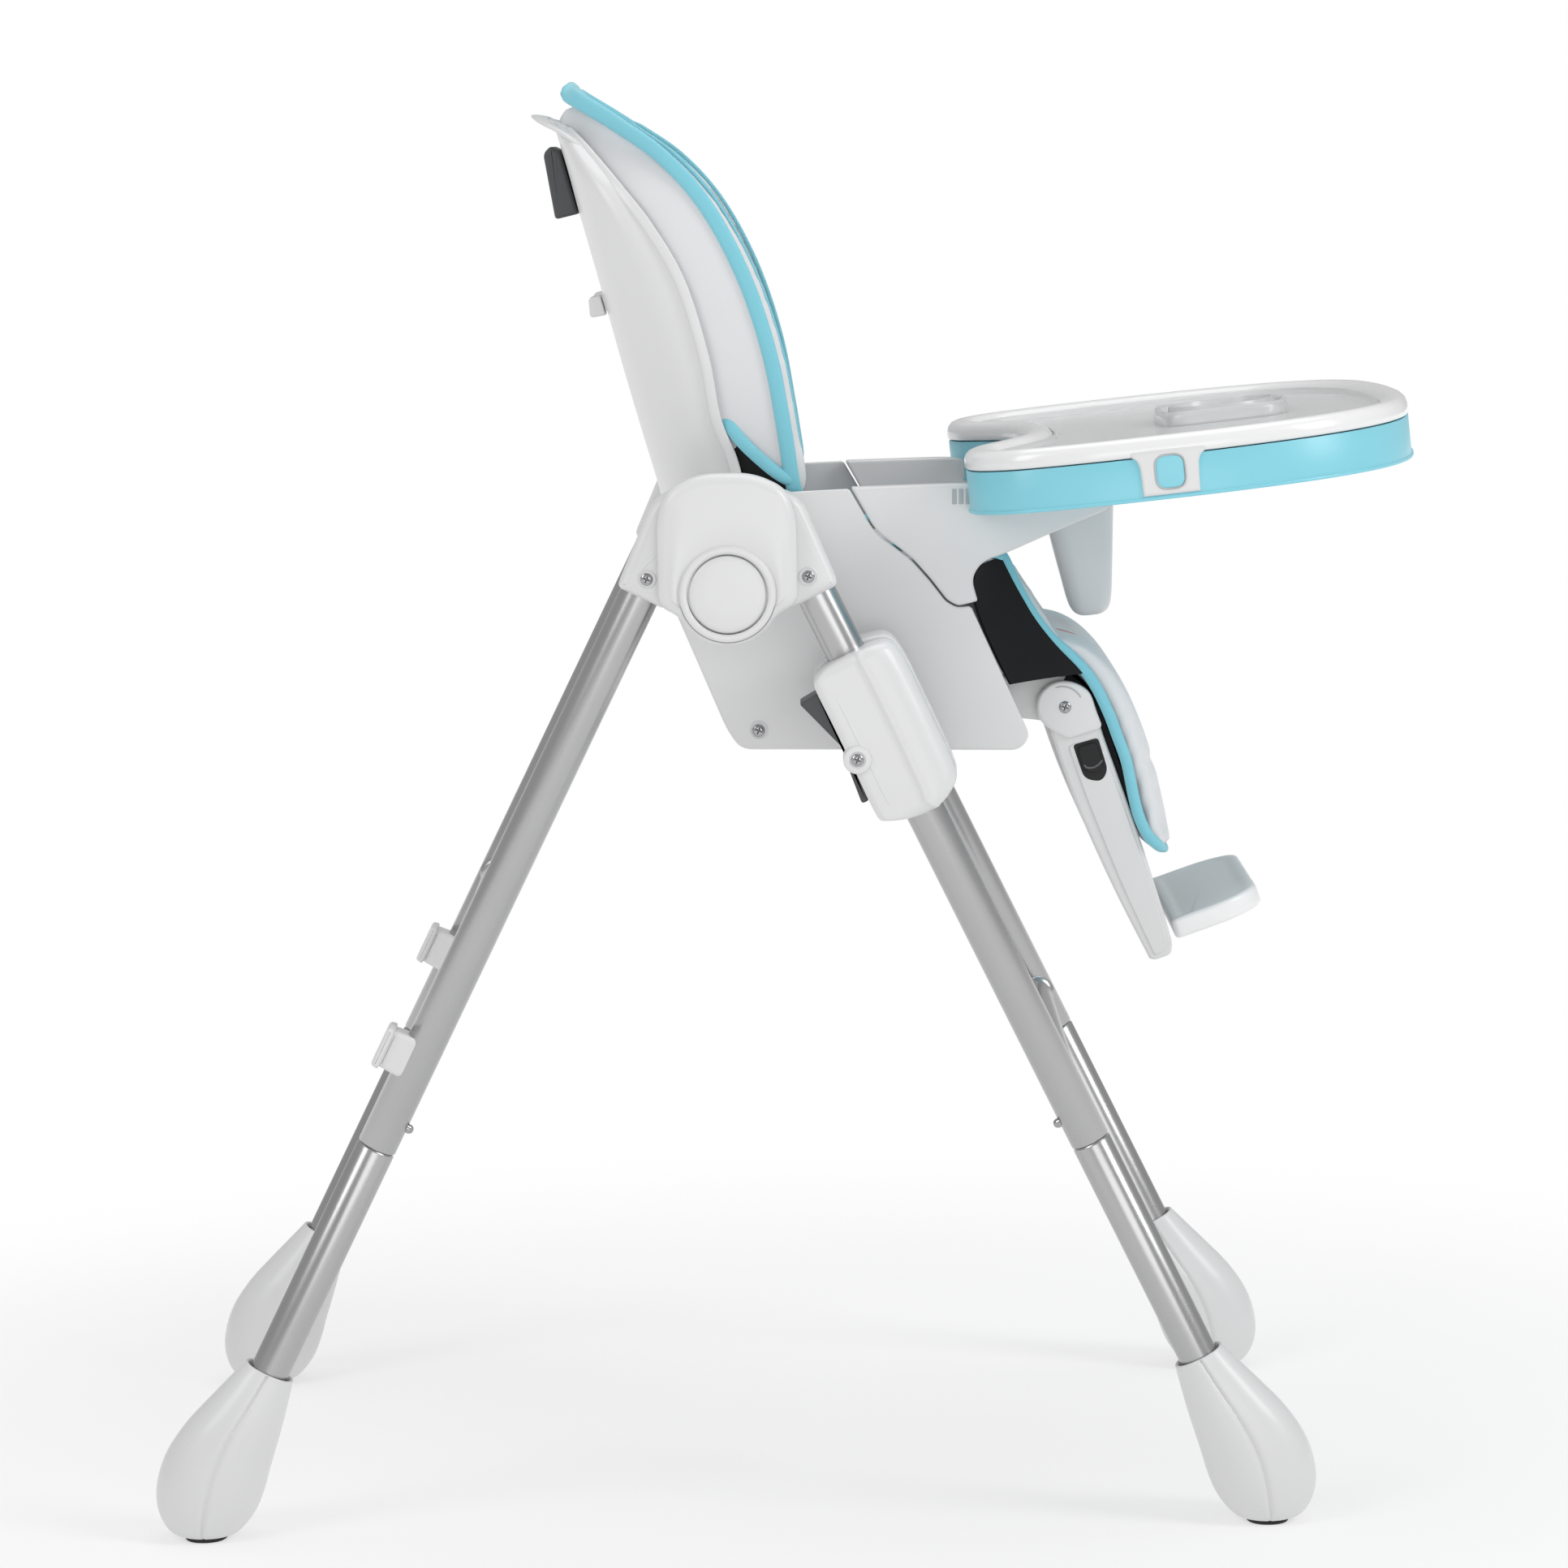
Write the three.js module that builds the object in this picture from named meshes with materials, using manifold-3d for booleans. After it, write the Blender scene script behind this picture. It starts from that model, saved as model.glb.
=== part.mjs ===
// A folding baby high chair: an A-frame of round tubes on two release hubs, a seat that slides up and
// down the front legs, a reclining back, a tilting leg rest and a sliding tray. Millimetres, +Z up, the
// child faces +X, and the origin is on the floor in the middle of the object's outline.
import * as THREE from "three";
import { mergeVertices } from "three/addons/utils/BufferGeometryUtils.js";
import Module from "manifold-3d";

const wasm = await Module();
wasm.setup();

// ---- driving dimensions ----
const DEG = Math.PI / 180;
const GAP = 0.4; // air between pieces that touch
const HUB = { x: -44.5, z: 693 }; // the axis that the two pairs of legs fold about
const LEG = {
  lean: { front: 25.6 * DEG, rear: 26.55 * DEG }, // from upright
  y: 245, // centre plane of the legs on each side
  offset: 56, // from the hub's axis to a tube's axis, square to the tube
  radius: 14.5,
  wall: 1.2,
  sides: 20,
  top: 22, // all of these are along the leg from the hub, up positive
  seam: -478.5,
  foot_end: -702,
};
const SPIGOT = { radius: 12.9, wall: 1.2, length: 62 }; // the lower tube's necked end
const SNAP = { at: -457, radius: 3.6, head: 4.5, flange: 5.6 }; // spring button that locks the two tubes
const SHELL = { outer: 168, wall: 3.5 }; // half width over the seat's side shells
const SEAT = { floor: 606, plate: 4 };
const RECLINE = { x: -53, z: 690 };
const KNEE = { x: 202, z: 591, radius: 20 }; // the leg rest's hinge
const TRAY = { x: 133, z: 742, tilt: 5.4 * DEG, skirt: 31, height: 45, length: 340.3, half: 272 };
const BUTTON_PANEL = { from: 119, to: 166 };

// ---- colours ----
const finish = (color, roughness, metalness = 0) => new THREE.MeshStandardMaterial({ color, roughness, metalness });
const WHITE = finish(0xe9eaec, 0.35);
const STEEL = finish(0x9a9c9f, 0.35, 0.8);
const BLACK = finish(0x2b2c2e, 0.5);
const BLUE = finish(0x7fcfe2, 0.4);
const CLOTH = finish(0xf4f6f8, 0.8);
const RUBBER = finish(0x2a2a2c, 0.9);
const CLEAR = finish(0xf0f3f5, 0.15);

// ---- shape helpers ----
const v3 = (x, y, z) => new THREE.Vector3(x, y, z);

// A closed surface as a solid that can be cut and joined.
function solid(geometry) {
  const bare = geometry.index ? geometry.toNonIndexed() : geometry.clone();
  for (const name of Object.keys(bare.attributes)) if (name !== "position") bare.deleteAttribute(name);
  const merged = mergeVertices(bare, 1e-3);
  return new wasm.Manifold(
    new wasm.Mesh({
      numProp: 3,
      vertProperties: merged.attributes.position.array,
      triVerts: new Uint32Array(merged.index.array),
    }),
  );
}

function surface(made) {
  const mesh = made.getMesh();
  const g = new THREE.BufferGeometry();
  g.setAttribute("position", new THREE.BufferAttribute(mesh.vertProperties, 3));
  g.setIndex(new THREE.BufferAttribute(mesh.triVerts, 1));
  return g;
}

const cut = (g, ...tools) => surface(tools.reduce((s, t) => s.subtract(solid(t)), solid(g)));
const join = (g, ...others) => surface(others.reduce((s, t) => s.add(solid(t)), solid(g)));
const common = (g, other) => surface(solid(g).intersect(solid(other)));

// A round-cornered outline in the X-Z plane: each point is [x, z, corner radius]. A corner never takes
// more than half of the side next to it.
function outline(points) {
  const shape = new THREE.Shape();
  points.forEach(([x, z, radius = 0], i) => {
    const here = new THREE.Vector2(x, z);
    const sides = [points.at(i - 1), points[(i + 1) % points.length]].map(([a, b]) =>
      new THREE.Vector2(a, b).sub(here),
    );
    const r = Math.min(radius, ...sides.map((side) => side.length() / 2.05));
    const [start, end] = sides.map((side) => here.clone().addScaledVector(side.normalize(), r));
    if (i === 0) shape.moveTo(start.x, start.y);
    else shape.lineTo(start.x, start.y);
    if (r > 0) shape.quadraticCurveTo(x, z, end.x, end.y);
  });
  return shape;
}

// An X-Z outline given thickness from y = a to y = b.
function plate(shape, a, b, curveSegments = 4) {
  const depth = Math.abs(b - a);
  return new THREE.ExtrudeGeometry(shape, { depth, bevelEnabled: false, curveSegments })
    .rotateX(Math.PI / 2)
    .translate(0, Math.max(a, b), 0);
}

function box(x, y, z) {
  const [w, d, h] = [x, y, z].map(([a, b]) => b - a);
  return new THREE.BoxGeometry(w, d, h).translate(x[0] + w / 2, y[0] + d / 2, z[0] + h / 2);
}

// A rod or, with an inner radius, a pipe, standing on z = from at the origin.
function pipe(outer, inner, from, to, sides = LEG.sides) {
  const profile = [
    [inner, from],
    [outer, from],
    [outer, to],
    [inner, to],
  ].map(([r, z]) => new THREE.Vector2(r, z));
  if (inner > 0) profile.push(profile[0].clone());
  return new THREE.LatheGeometry(profile, sides).rotateX(Math.PI / 2);
}

// The same along Y, about the point (x, z).
const rod = (x, z, radius, a, b, sides = 20) => {
  const [low, high] = [Math.min(a, b), Math.max(a, b)];
  return new THREE.CylinderGeometry(radius, radius, high - low, sides).translate(x, (low + high) / 2, z);
};

// A skin through closed sections with the same number of points, closed at both ends.
function loft(sections, flatten) {
  const n = sections[0].length;
  const position = sections.flat().flatMap((p) => [p.x, p.y, p.z]);
  const faces = [];
  for (let k = 0; k + 1 < sections.length; k++)
    for (let i = 0; i < n; i++) {
      const j = (i + 1) % n;
      faces.push(k * n + i, k * n + j, (k + 1) * n + j, k * n + i, (k + 1) * n + j, (k + 1) * n + i);
    }
  const ends = [
    [0, 1],
    [sections.length - 1, -1],
  ];
  for (const [k, way] of ends) {
    const ring = sections[k].map(flatten);
    const clockwise = THREE.ShapeUtils.isClockWise(sections[0].map(flatten));
    for (const t of THREE.ShapeUtils.triangulateShape(ring, [])) {
      const corners = clockwise === way > 0 ? t : [...t].reverse();
      faces.push(...corners.map((c) => k * n + c));
    }
  }
  const g = new THREE.BufferGeometry();
  g.setAttribute("position", new THREE.Float32BufferAttribute(position, 3));
  g.setIndex(faces);
  return outward(g);
}

// Turns a closed surface's faces to point out.
function outward(g) {
  const p = g.attributes.position;
  const index = g.index.array;
  let volume = 0;
  const [a, b, c] = [v3(), v3(), v3()];
  for (let i = 0; i < index.length; i += 3) {
    a.fromBufferAttribute(p, index[i]);
    b.fromBufferAttribute(p, index[i + 1]);
    c.fromBufferAttribute(p, index[i + 2]);
    volume += a.dot(b.cross(c));
  }
  if (volume < 0) g.setIndex(Array.from(index).reverse());
  return g;
}

function put(group, name, geometry, material) {
  const mesh = new THREE.Mesh(geometry, material);
  mesh.name = name;
  group.add(mesh);
  return mesh;
}

const chair = new THREE.Group();

// ---- feet: hollow shoes that flare outwards and down, each on a rubber sole ----
// Stations from the sole up: [outer x, z, inner x, z, half width in y], from the collar's centre.
const FOOT = [
  [62, -120, 29, -120, 20],
  [73, -111, 17, -113, 26],
  [80, -90, 7, -97, 31],
  [76, -65, 1, -75, 31],
  [60, -39, -6, -51, 29],
  [37, -14, -11, -28, 24],
  [17.5, 9.5, -17.5, -7.5, 19],
];
const SOLE = { bottom: -123, top: -120 - GAP, inset: 1 };

// An oval section between an outer and an inner point, square to the line that joins them.
function footRing([ox, oz, ix, iz, half], inset = 0, sides = 16) {
  const [cx, cz, ux, uz] = [(ox + ix) / 2, (oz + iz) / 2, (ox - ix) / 2, (oz - iz) / 2];
  const long = Math.hypot(ux, uz);
  const share = (long - inset) / long;
  return Array.from({ length: sides }, (_, i) => {
    const a = (i / sides) * 2 * Math.PI;
    return v3(cx + ux * share * Math.cos(a), (half - inset) * Math.sin(a), cz + uz * share * Math.cos(a));
  });
}

const flatXY = (p) => new THREE.Vector2(p.x, p.y);

function footShell(lean) {
  const skin = loft(FOOT.map((s) => footRing(s)), flatXY);
  const hollow = FOOT.slice(0, -1).map((s) => footRing(s, 2.6));
  hollow.unshift(hollow[0].map((p) => v3(p.x, p.y, p.z - 5)));
  const socket = pipe(LEG.radius + GAP, 0, -60, 40).rotateY(-lean);
  return cut(skin, loft(hollow, flatXY), socket);
}

function footSole() {
  const ring = (z) => footRing(FOOT[0], SOLE.inset).map((p) => v3(p.x, p.y, z));
  return loft([ring(SOLE.bottom), ring(SOLE.top)], flatXY);
}

// ---- legs, in a frame at the hub with x square to the tube and outwards, and z up the tube ----
const legTube = (outer, wall, from, to) => pipe(outer, outer - wall, from, to).translate(LEG.offset, -LEG.y, 0);

// The hole for the spring button, square to the tube on its inner side.
const snapHole = (radius) => {
  const length = 2 * LEG.radius;
  const bore = new THREE.CylinderGeometry(radius, radius, length, 12).rotateZ(Math.PI / 2);
  return bore.translate(LEG.offset - length / 2, -LEG.y, SNAP.at);
};

function lowerTube() {
  const neck = SPIGOT.radius - SPIGOT.wall;
  const profile = [
    [LEG.radius - LEG.wall, LEG.foot_end],
    [LEG.radius, LEG.foot_end],
    [LEG.radius, LEG.seam - GAP - 2],
    [SPIGOT.radius, LEG.seam - GAP],
    [SPIGOT.radius, LEG.seam + SPIGOT.length],
    [neck, LEG.seam + SPIGOT.length],
    [neck, LEG.seam - 3],
    [LEG.radius - LEG.wall, LEG.seam - 6],
    [LEG.radius - LEG.wall, LEG.foot_end],
  ].map(([r, z]) => new THREE.Vector2(r, z));
  const tube = new THREE.LatheGeometry(profile, LEG.sides).rotateX(Math.PI / 2);
  return cut(tube.translate(LEG.offset, -LEG.y, 0), snapHole(SNAP.radius + GAP));
}

// A round-headed pin with a flange that its spring presses against the necked tube from inside.
function snapButton() {
  const reach = LEG.radius + SNAP.head;
  const stop = SPIGOT.radius - SPIGOT.wall - 2.2;
  const profile = [
    [0, 1.5],
    [SNAP.flange, 1.5],
    [SNAP.flange, stop],
    [SNAP.radius, stop],
    [SNAP.radius, reach - 1.5],
    [SNAP.radius - 1.5, reach],
    [0, reach],
  ].map(([r, z]) => new THREE.Vector2(r, z));
  const pin = new THREE.LatheGeometry(profile, 12).rotateZ(Math.PI / 2);
  return pin.translate(LEG.offset, -LEG.y, SNAP.at);
}

// ---- hubs ----
const SOCKET = {
  near: 34, // span of the block that grips the tube, from the hub's axis
  far: 76,
  up: 46,
  down: -31,
  outer: LEG.y + 21,
  inner: LEG.y - 21,
  disc: 32,
};

// A leg's socket: a block round the tube's end and half of the hub's disc, in one layer of its thickness.
function legSocket(layer) {
  const block = plate(
    outline([
      [SOCKET.near, SOCKET.down, 4],
      [SOCKET.far, SOCKET.down, 5],
      [SOCKET.far, SOCKET.up - 14, 10],
      [SOCKET.near + 22, SOCKET.up, 8],
      [SOCKET.near, SOCKET.up, 4],
    ]),
    -SOCKET.outer,
    -SOCKET.inner,
  );
  const disc = rod(0, 0, SOCKET.disc, ...layer, 24);
  const arm = box([0, SOCKET.near + 4], layer, [-24, 28]);
  const tube = pipe(LEG.radius + GAP, 0, SOCKET.down - 5, LEG.top + 1).translate(LEG.offset, -LEG.y, 0);
  return cut(join(block, disc, arm), tube);
}
const OUTER_LAYER = [-SOCKET.outer, -LEG.y - GAP];
const INNER_LAYER = [-LEG.y + GAP, -SOCKET.inner];

// The cover's raised face: a round top, straight sides and a round boss for the button.
const COVER = { outer: 282, half: 49.8, top: 86, boss: 36.5, button: 28.2 };
function hubCover() {
  const { half, top, boss } = COVER;
  const shape = new THREE.Shape();
  const shoulder = 60;
  shape.moveTo(-half, -12);
  shape.lineTo(-half, shoulder);
  shape.quadraticCurveTo(-half + 12, top, 0, top);
  shape.quadraticCurveTo(half - 12, top, half, shoulder);
  shape.lineTo(half, -12);
  shape.lineTo(boss * Math.cos(-25 * DEG), boss * Math.sin(-25 * DEG));
  shape.absarc(0, 0, boss, -25 * DEG, -155 * DEG, true);
  shape.closePath();
  const face = plate(shape, -COVER.outer, -SOCKET.outer - GAP, 8);
  const well = rod(0, 0, COVER.button + GAP, -COVER.outer - 1, -SOCKET.outer + 1, 32);
  return cut(face, well).translate(HUB.x, 0, HUB.z);
}

// The release button: a shallow cap that travels in towards the hub.
const foldButton = () =>
  rod(0, 0, COVER.button, -COVER.outer - 3, -SOCKET.outer - 6.5, 32).translate(HUB.x, 0, HUB.z);

// ---- height sliders on the front legs, in the leg's frame ----
const SLIDER = { from: 25, to: 91.5, top: -79, bottom: -204.5, outer: 280, inner: 196 };
const LEVER = { x: 30, z: -148.4, half: 17 };

const sliderOutline = () =>
  outline([
    [SLIDER.from, SLIDER.bottom + 7, 14],
    [SLIDER.from + 30, SLIDER.bottom, 20],
    [SLIDER.to - 26, SLIDER.bottom, 20],
    [SLIDER.to, SLIDER.bottom + 12, 26],
    [SLIDER.to, SLIDER.top, 26],
    [SLIDER.from, SLIDER.top - 2, 18],
  ]);

// The pocket in the slider's back edge that the lever rocks in.
const leverPocket = () =>
  plate(
    outline([
      [SLIDER.from - 6, -90],
      [LEVER.x + 8.6, -90],
      [LEVER.x + 8.6, -186],
      [SLIDER.from - 6, -186],
    ]),
    -LEG.y - LEVER.half - 0.6,
    -LEG.y + LEVER.half + 0.6,
  );

function sliderHalf(a, b, extra) {
  const body = plate(sliderOutline(), a, b);
  const bore = pipe(LEG.radius + 0.9, 0, SLIDER.bottom - 20, SLIDER.top + 20, 24).translate(LEG.offset, -LEG.y, 0);
  return cut(extra ? join(body, extra) : body, bore, leverPocket());
}

// A rocker with a long thumb plate above its pivot and a short tail below.
function heightLever() {
  const side = outline([
    [9.7, -95.5, 1.5],
    [25.7, -94.4, 1.5],
    [LEVER.x + 3, -136],
    [LEVER.x + 7, -142, 3],
    [LEVER.x + 7, -155, 3],
    [LEVER.x - 2, -159],
    [23.2, -180.8, 1.5],
    [17.8, -180.4, 1.5],
    [20.1, -157.1, 2],
    [21.5, -148.4, 3],
    [24, -140, 2],
  ]);
  return plate(side, -LEG.y - LEVER.half, -LEG.y + LEVER.half);
}

// ---- rear leg's hook, which the tray hangs on when it is off the chair ----
function trayHook() {
  const [root, neck, tip, low, high] = [4, 20, 30, -424, -392];
  const saddle = plate(
    outline([
      [root, low, 6],
      [tip - 5, low + 3],
      [tip - 5, low + 1],
      [tip, low + 1, 2],
      [tip, high - 1, 2],
      [tip - 5, high - 1],
      [tip - 5, high - 3],
      [root, high, 6],
    ]),
    -LEG.y - 17,
    -LEG.y + 17,
  ).translate(LEG.offset, 0, 0);
  const notch = (a, b) => box([LEG.offset + neck, LEG.offset + tip - 5], [a, b], [low - 2, high + 2]);
  const [groove, groove2] = [notch(-LEG.y - 20, -LEG.y - 10), notch(-LEG.y + 10, -LEG.y + 20)];
  const tube = pipe(LEG.radius + GAP, 0, low - 10, high + 10).translate(LEG.offset, -LEG.y, 0);
  return cut(saddle, groove, groove2, tube);
}

// ---- the two pairs of legs ----
function addLeg(parent, end, side) {
  const front = end === "front";
  const lean = LEG.lean[end];
  const frame = new THREE.Group();
  frame.position.set(HUB.x, 0, HUB.z);
  frame.rotation.y = front ? -lean : lean;
  frame.scale.x = front ? 1 : -1;
  parent.add(frame);
  const upper = legTube(LEG.radius, LEG.wall, LEG.seam, LEG.top);
  put(frame, `${end}_upper_tube_${side}`, cut(upper, snapHole(SNAP.radius + GAP)), STEEL);
  put(frame, `${end}_lower_tube_${side}`, lowerTube(), STEEL);
  put(frame, `${end}_snap_button_${side}`, snapButton(), STEEL);
  put(frame, `${end}_leg_socket_${side}`, legSocket(front ? OUTER_LAYER : INNER_LAYER), WHITE);
  if (front) {
    put(frame, `slider_outer_shell_${side}`, sliderHalf(-SLIDER.outer, -LEG.y - GAP / 2), WHITE);
    const boss = plate(
      outline([
        [SLIDER.from + 14, SLIDER.bottom + 22, 10],
        [SLIDER.to - 6, SLIDER.bottom + 22, 10],
        [SLIDER.to - 6, SLIDER.top - 20, 10],
        [SLIDER.from + 14, SLIDER.top - 20, 10],
      ]),
      -SLIDER.inner - 2,
      -SHELL.outer - GAP,
    );
    put(frame, `slider_inner_shell_${side}`, sliderHalf(-LEG.y + GAP / 2, -SLIDER.inner, boss), WHITE);
    put(frame, `height_lever_${side}`, heightLever(), BLACK);
  } else put(frame, `tray_hook_${side}`, trayHook(), WHITE);

  const foot = new THREE.Group();
  const reach = LEG.offset / Math.cos(lean) + (HUB.z - 123) * Math.tan(lean);
  foot.position.set(HUB.x + (front ? reach : -reach), -LEG.y, 123);
  foot.scale.x = front ? 1 : -1;
  parent.add(foot);
  put(foot, `${end}_foot_${side}`, footShell(lean), WHITE);
  put(foot, `${end}_foot_sole_${side}`, footSole(), RUBBER);
}

// A bar between the two legs of a pair, with ends that stop short of the tubes.
function crossbar(end, at) {
  const front = end === "front";
  const frame = new THREE.Group();
  frame.position.set(HUB.x, 0, HUB.z);
  frame.rotation.y = front ? -LEG.lean.front : LEG.lean.rear;
  const half = LEG.y - LEG.radius - GAP;
  const bar = pipe(11, 9.8, -half, half, 16).rotateX(Math.PI / 2);
  put(frame, `${end}_crossbar`, bar.translate(front ? LEG.offset : -LEG.offset, 0, at), STEEL);
  chair.add(frame);
}

// ---- seat ----
// The line where the side shell meets the arm, from the top edge down to the front edge.
const SEAM = [
  [46.5, 760],
  [62, 732],
  [68, 725],
  [80, 716],
  [91, 707],
  [104, 692],
  [116, 676],
  [124, 671.5],
  [133, 672],
];

function seatSide() {
  const shape = outline([
    [-88, 680, 4],
    [-48, 583, 6],
    [-38, 568, 8],
    [168, 564, 10],
    [176, 574, 6],
    [133.5, 671.5],
    ...SEAM.slice(1, -1)
      .reverse()
      .map(([x, z]) => [x - 0.6, z - 0.8]),
    [45, 759.5],
    [-20, 757, 6],
    [-74, 735, 10],
  ]);
  return plate(shape, -SHELL.outer, -SHELL.outer + SHELL.wall);
}

// The arm: a deep bracket that runs forward under the tray and carries its rails.
const ARM = { inner: 150, tip: 235 };
function armrest() {
  const shape = outline([
    [46.5, 760],
    ...SEAM.slice(1, -1),
    [138.5, 675, 1],
    [134, 692, 8],
    [142, 704, 8],
    [160, 710],
    [205, 729],
    [ARM.tip, 742, 3],
    [ARM.tip, 747, 2],
    [134, 761.5],
  ]);
  return plate(shape, -SHELL.outer, -ARM.inner);
}

// The pan: a floor with upstands at the back and front, and two ears for the leg rest's hinge.
function seatPan() {
  const inner = SHELL.outer - SHELL.wall - GAP;
  const { floor, plate: thick } = SEAT;
  const pan = plate(
    outline([
      [-34, floor - 24, 2],
      [-30, floor - 24, 2],
      [-37, floor, 4],
      [152, floor, 4],
      [152, floor - 20, 2],
      [156, floor - 20, 2],
      [156, floor + thick, 4],
      [-43, floor + thick, 3],
    ]),
    -inner,
    inner,
  );
  const ear = (y) =>
    plate(
      outline([
        [140, 586, 2],
        [196, 579, 2],
        [196, 603, 2],
        [140, 605],
      ]),
      y,
      y + 11,
    );
  const boss = (y) => rod(KNEE.x, KNEE.z, 15, y, y + 11, 20);
  const ears = [-117, 106].flatMap((y) => [ear(y), boss(y)]);
  return join(pan, ...ears);
}

// ---- back: a scoop with a rim, and a tub-shaped pad inside it ----
// Stations up the back: [rear x, z, rim x, z, half width at the rim].
const BACK = [
  [-84, 694, -28, 720, 154],
  [-97, 753, -36, 776, 158],
  [-110, 800, -49, 812, 166],
  [-125, 855, -57, 858, 170],
  [-141, 917, -73, 912, 170],
  [-153, 962, -95, 952, 164],
  [-161, 994, -118, 982, 150],
  [-168, 1018, -142, 1010, 118],
  [-172, 1031, -158, 1027, 84],
];
const BACK_WALL = 3;

// A U-shaped section: round the outside from rim to rim, then back round the inside.
function scoopSection([bx, bz, rx, rz, w], wall) {
  const run = (inset, rim) => {
    const deep = 1 - inset / Math.hypot(rx - bx, rz - bz);
    const at = (share, y) => v3(rx + (bx - rx) * share * deep, y, rz + (bz - rz) * share * deep);
    const half = w - inset;
    return [
      [rim, 1],
      [0.45, 0.96],
      [0.8, 0.84],
      [1, 0.62],
      [1, 0.3],
      [1, -0.3],
      [1, -0.62],
      [0.8, -0.84],
      [0.45, -0.96],
      [rim, -1],
    ].map(([share, across]) => at(share, across * half));
  };
  return [...run(0, 0), ...run(wall, 0).reverse()];
}

function backShell() {
  const scoop = loft(BACK.map((s) => scoopSection(s, BACK_WALL)), flatXY);
  const hinge = (y) => rod(RECLINE.x, RECLINE.z, 13, y, y + 4, 20);
  const cheek = (y) =>
    plate(
      outline([
        [RECLINE.x - 12, RECLINE.z - 2],
        [RECLINE.x + 12, RECLINE.z - 2],
        [-38, 745],
        [-84, 745],
      ]),
      y,
      y + 4,
    );
  return join(scoop, hinge(-156), hinge(152), cheek(-156), cheek(152));
}

// The pad's front edge, one point for each station of the back from the second up.
const PAD_EDGE = [
  [4, 763],
  [0, 806],
  [-9, 862],
  [-26, 918],
  [-52, 968],
  [-82, 1004],
  [-118, 1030],
  [-150, 1050],
];
const PAD = { wall: 24, back: 24 };

// The pad's tub section: outside along the scoop's inside, inside a pad's thickness further in.
function padSection([bx, bz, rx, rz, w], [px, pz]) {
  const clear = BACK_WALL + 1.2;
  const lerp = (a, b, t) => a + (b - a) * t;
  const at = (t, y) => v3(lerp(bx, rx, t), y, lerp(bz, rz, t));
  const depth = Math.hypot(rx - bx, rz - bz);
  const [rear, pad] = [clear / depth, (clear + PAD.back) / depth];
  const inner = w - PAD.wall;
  const side = w - clear;
  return [
    v3(px, w, pz),
    v3(rx + 3, w, rz + 1),
    v3(rx + 1, side - 2, rz),
    at(0.55, side * 0.93),
    at(Math.max(0.3, rear * 2), side * 0.78),
    at(rear, side * 0.55),
    at(rear, -side * 0.55),
    at(Math.max(0.3, rear * 2), -side * 0.78),
    at(0.55, -side * 0.93),
    v3(rx + 1, 2 - side, rz),
    v3(rx + 3, -w, rz + 1),
    v3(px, -w, pz),
    v3(px, -inner, pz),
    at(Math.min(0.95, pad + 0.5), -inner * 0.94),
    at(pad, -inner * 0.7),
    at(pad, inner * 0.7),
    at(Math.min(0.95, pad + 0.5), inner * 0.94),
    v3(px, inner, pz),
  ];
}

function backPad() {
  const sections = PAD_EDGE.map((edge, i) => padSection(BACK[i + 1], edge));
  const tub = loft(sections, flatXY);
  const slab = plate(
    outline([
      [-72, 664, 6],
      [-50, 664, 8],
      [-62, 800],
      [-96, 800],
      [-88, 745],
    ]),
    -100,
    100,
  );
  return join(tub, slab);
}

// The squeeze handle behind the head, which frees the back to recline. It lies along the back's rear face.
const reclineHandle = () =>
  plate(
    outline([
      [-172, 958, 3],
      [-154.4, 962, 1],
      [-167.6, 1011, 1],
      [-180, 1008, 5],
    ]),
    -42,
    42,
  );

// ---- seat pad: a base with two side wings, open at the front for the legs ----
const SEAT_PAD = { base: 636, wing: 148, wall: 26 };
function seatPad() {
  const floor = SEAT.floor + SEAT.plate + GAP;
  const side = outline([
    [-34, floor, 4],
    [190, floor + 3, 6],
    [208, 640, 6],
    [194, 658, 8],
    [181, 678, 8],
    [160, 709, 6],
    [150, 714, 12],
    [60, 738, 20],
    [-22, 741, 10],
    [-40, 700, 10],
  ]);
  const wings = plate(side, -SEAT_PAD.wing, SEAT_PAD.wing);
  const inner = SEAT_PAD.wing - SEAT_PAD.wall;
  const well = box([-60, 260], [-inner, inner], [SEAT_PAD.base, 800]);
  const behind = box([-80, -28], [-inner, inner], [floor - 10, 800]);
  return cut(wings, well, behind);
}

// ---- leg rest ----
const atLatch = (g) => g.rotateY(-17 * DEG).translate(221, 0, 551);

function legrestFrame() {
  const rail = (y) => {
    const arm = plate(
      outline([
        [200, 566, 3],
        [226, 573, 3],
        [282, 404, 3],
        [264, 398, 3],
      ]),
      y,
      y + 8,
    );
    return join(arm, rod(KNEE.x, KNEE.z, KNEE.radius, y, y + 8, 24), box([194, 218], [y, y + 8], [566, 590]));
  };
  const panel = plate(
    outline([
      [194, 560, 2],
      [199, 562, 2],
      [267, 400, 1],
      [261, 398, 1],
    ]),
    -118,
    118,
  );
  const bridge = plate(
    outline([
      [262, 418],
      [276, 422],
      [281, 406],
      [266, 399],
    ]),
    -118,
    118,
  );
  const slot = (y) => atLatch(box([-8, 8], [y, y + 4], [-14.5, 14.5]));
  return cut(join(rail(-126), rail(118), panel, bridge), slot(-127), slot(123));
}

// A latch in the rail's outer face, which slides along the rail.
const legrestLatch = () => atLatch(box([-7.4, 7.4], [-127.5, -123.4], [-7.5, 13.9]));

function legrestPad() {
  return plate(
    outline([
      [228, 602, 3],
      [237, 574],
      [250, 534],
      [263, 492],
      [270, 474, 4],
      [284, 478, 5],
      [276, 512, 8],
      [264, 545, 8],
      [251, 573, 8],
      [238, 603, 4],
    ]),
    -128,
    128,
  );
}

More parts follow.
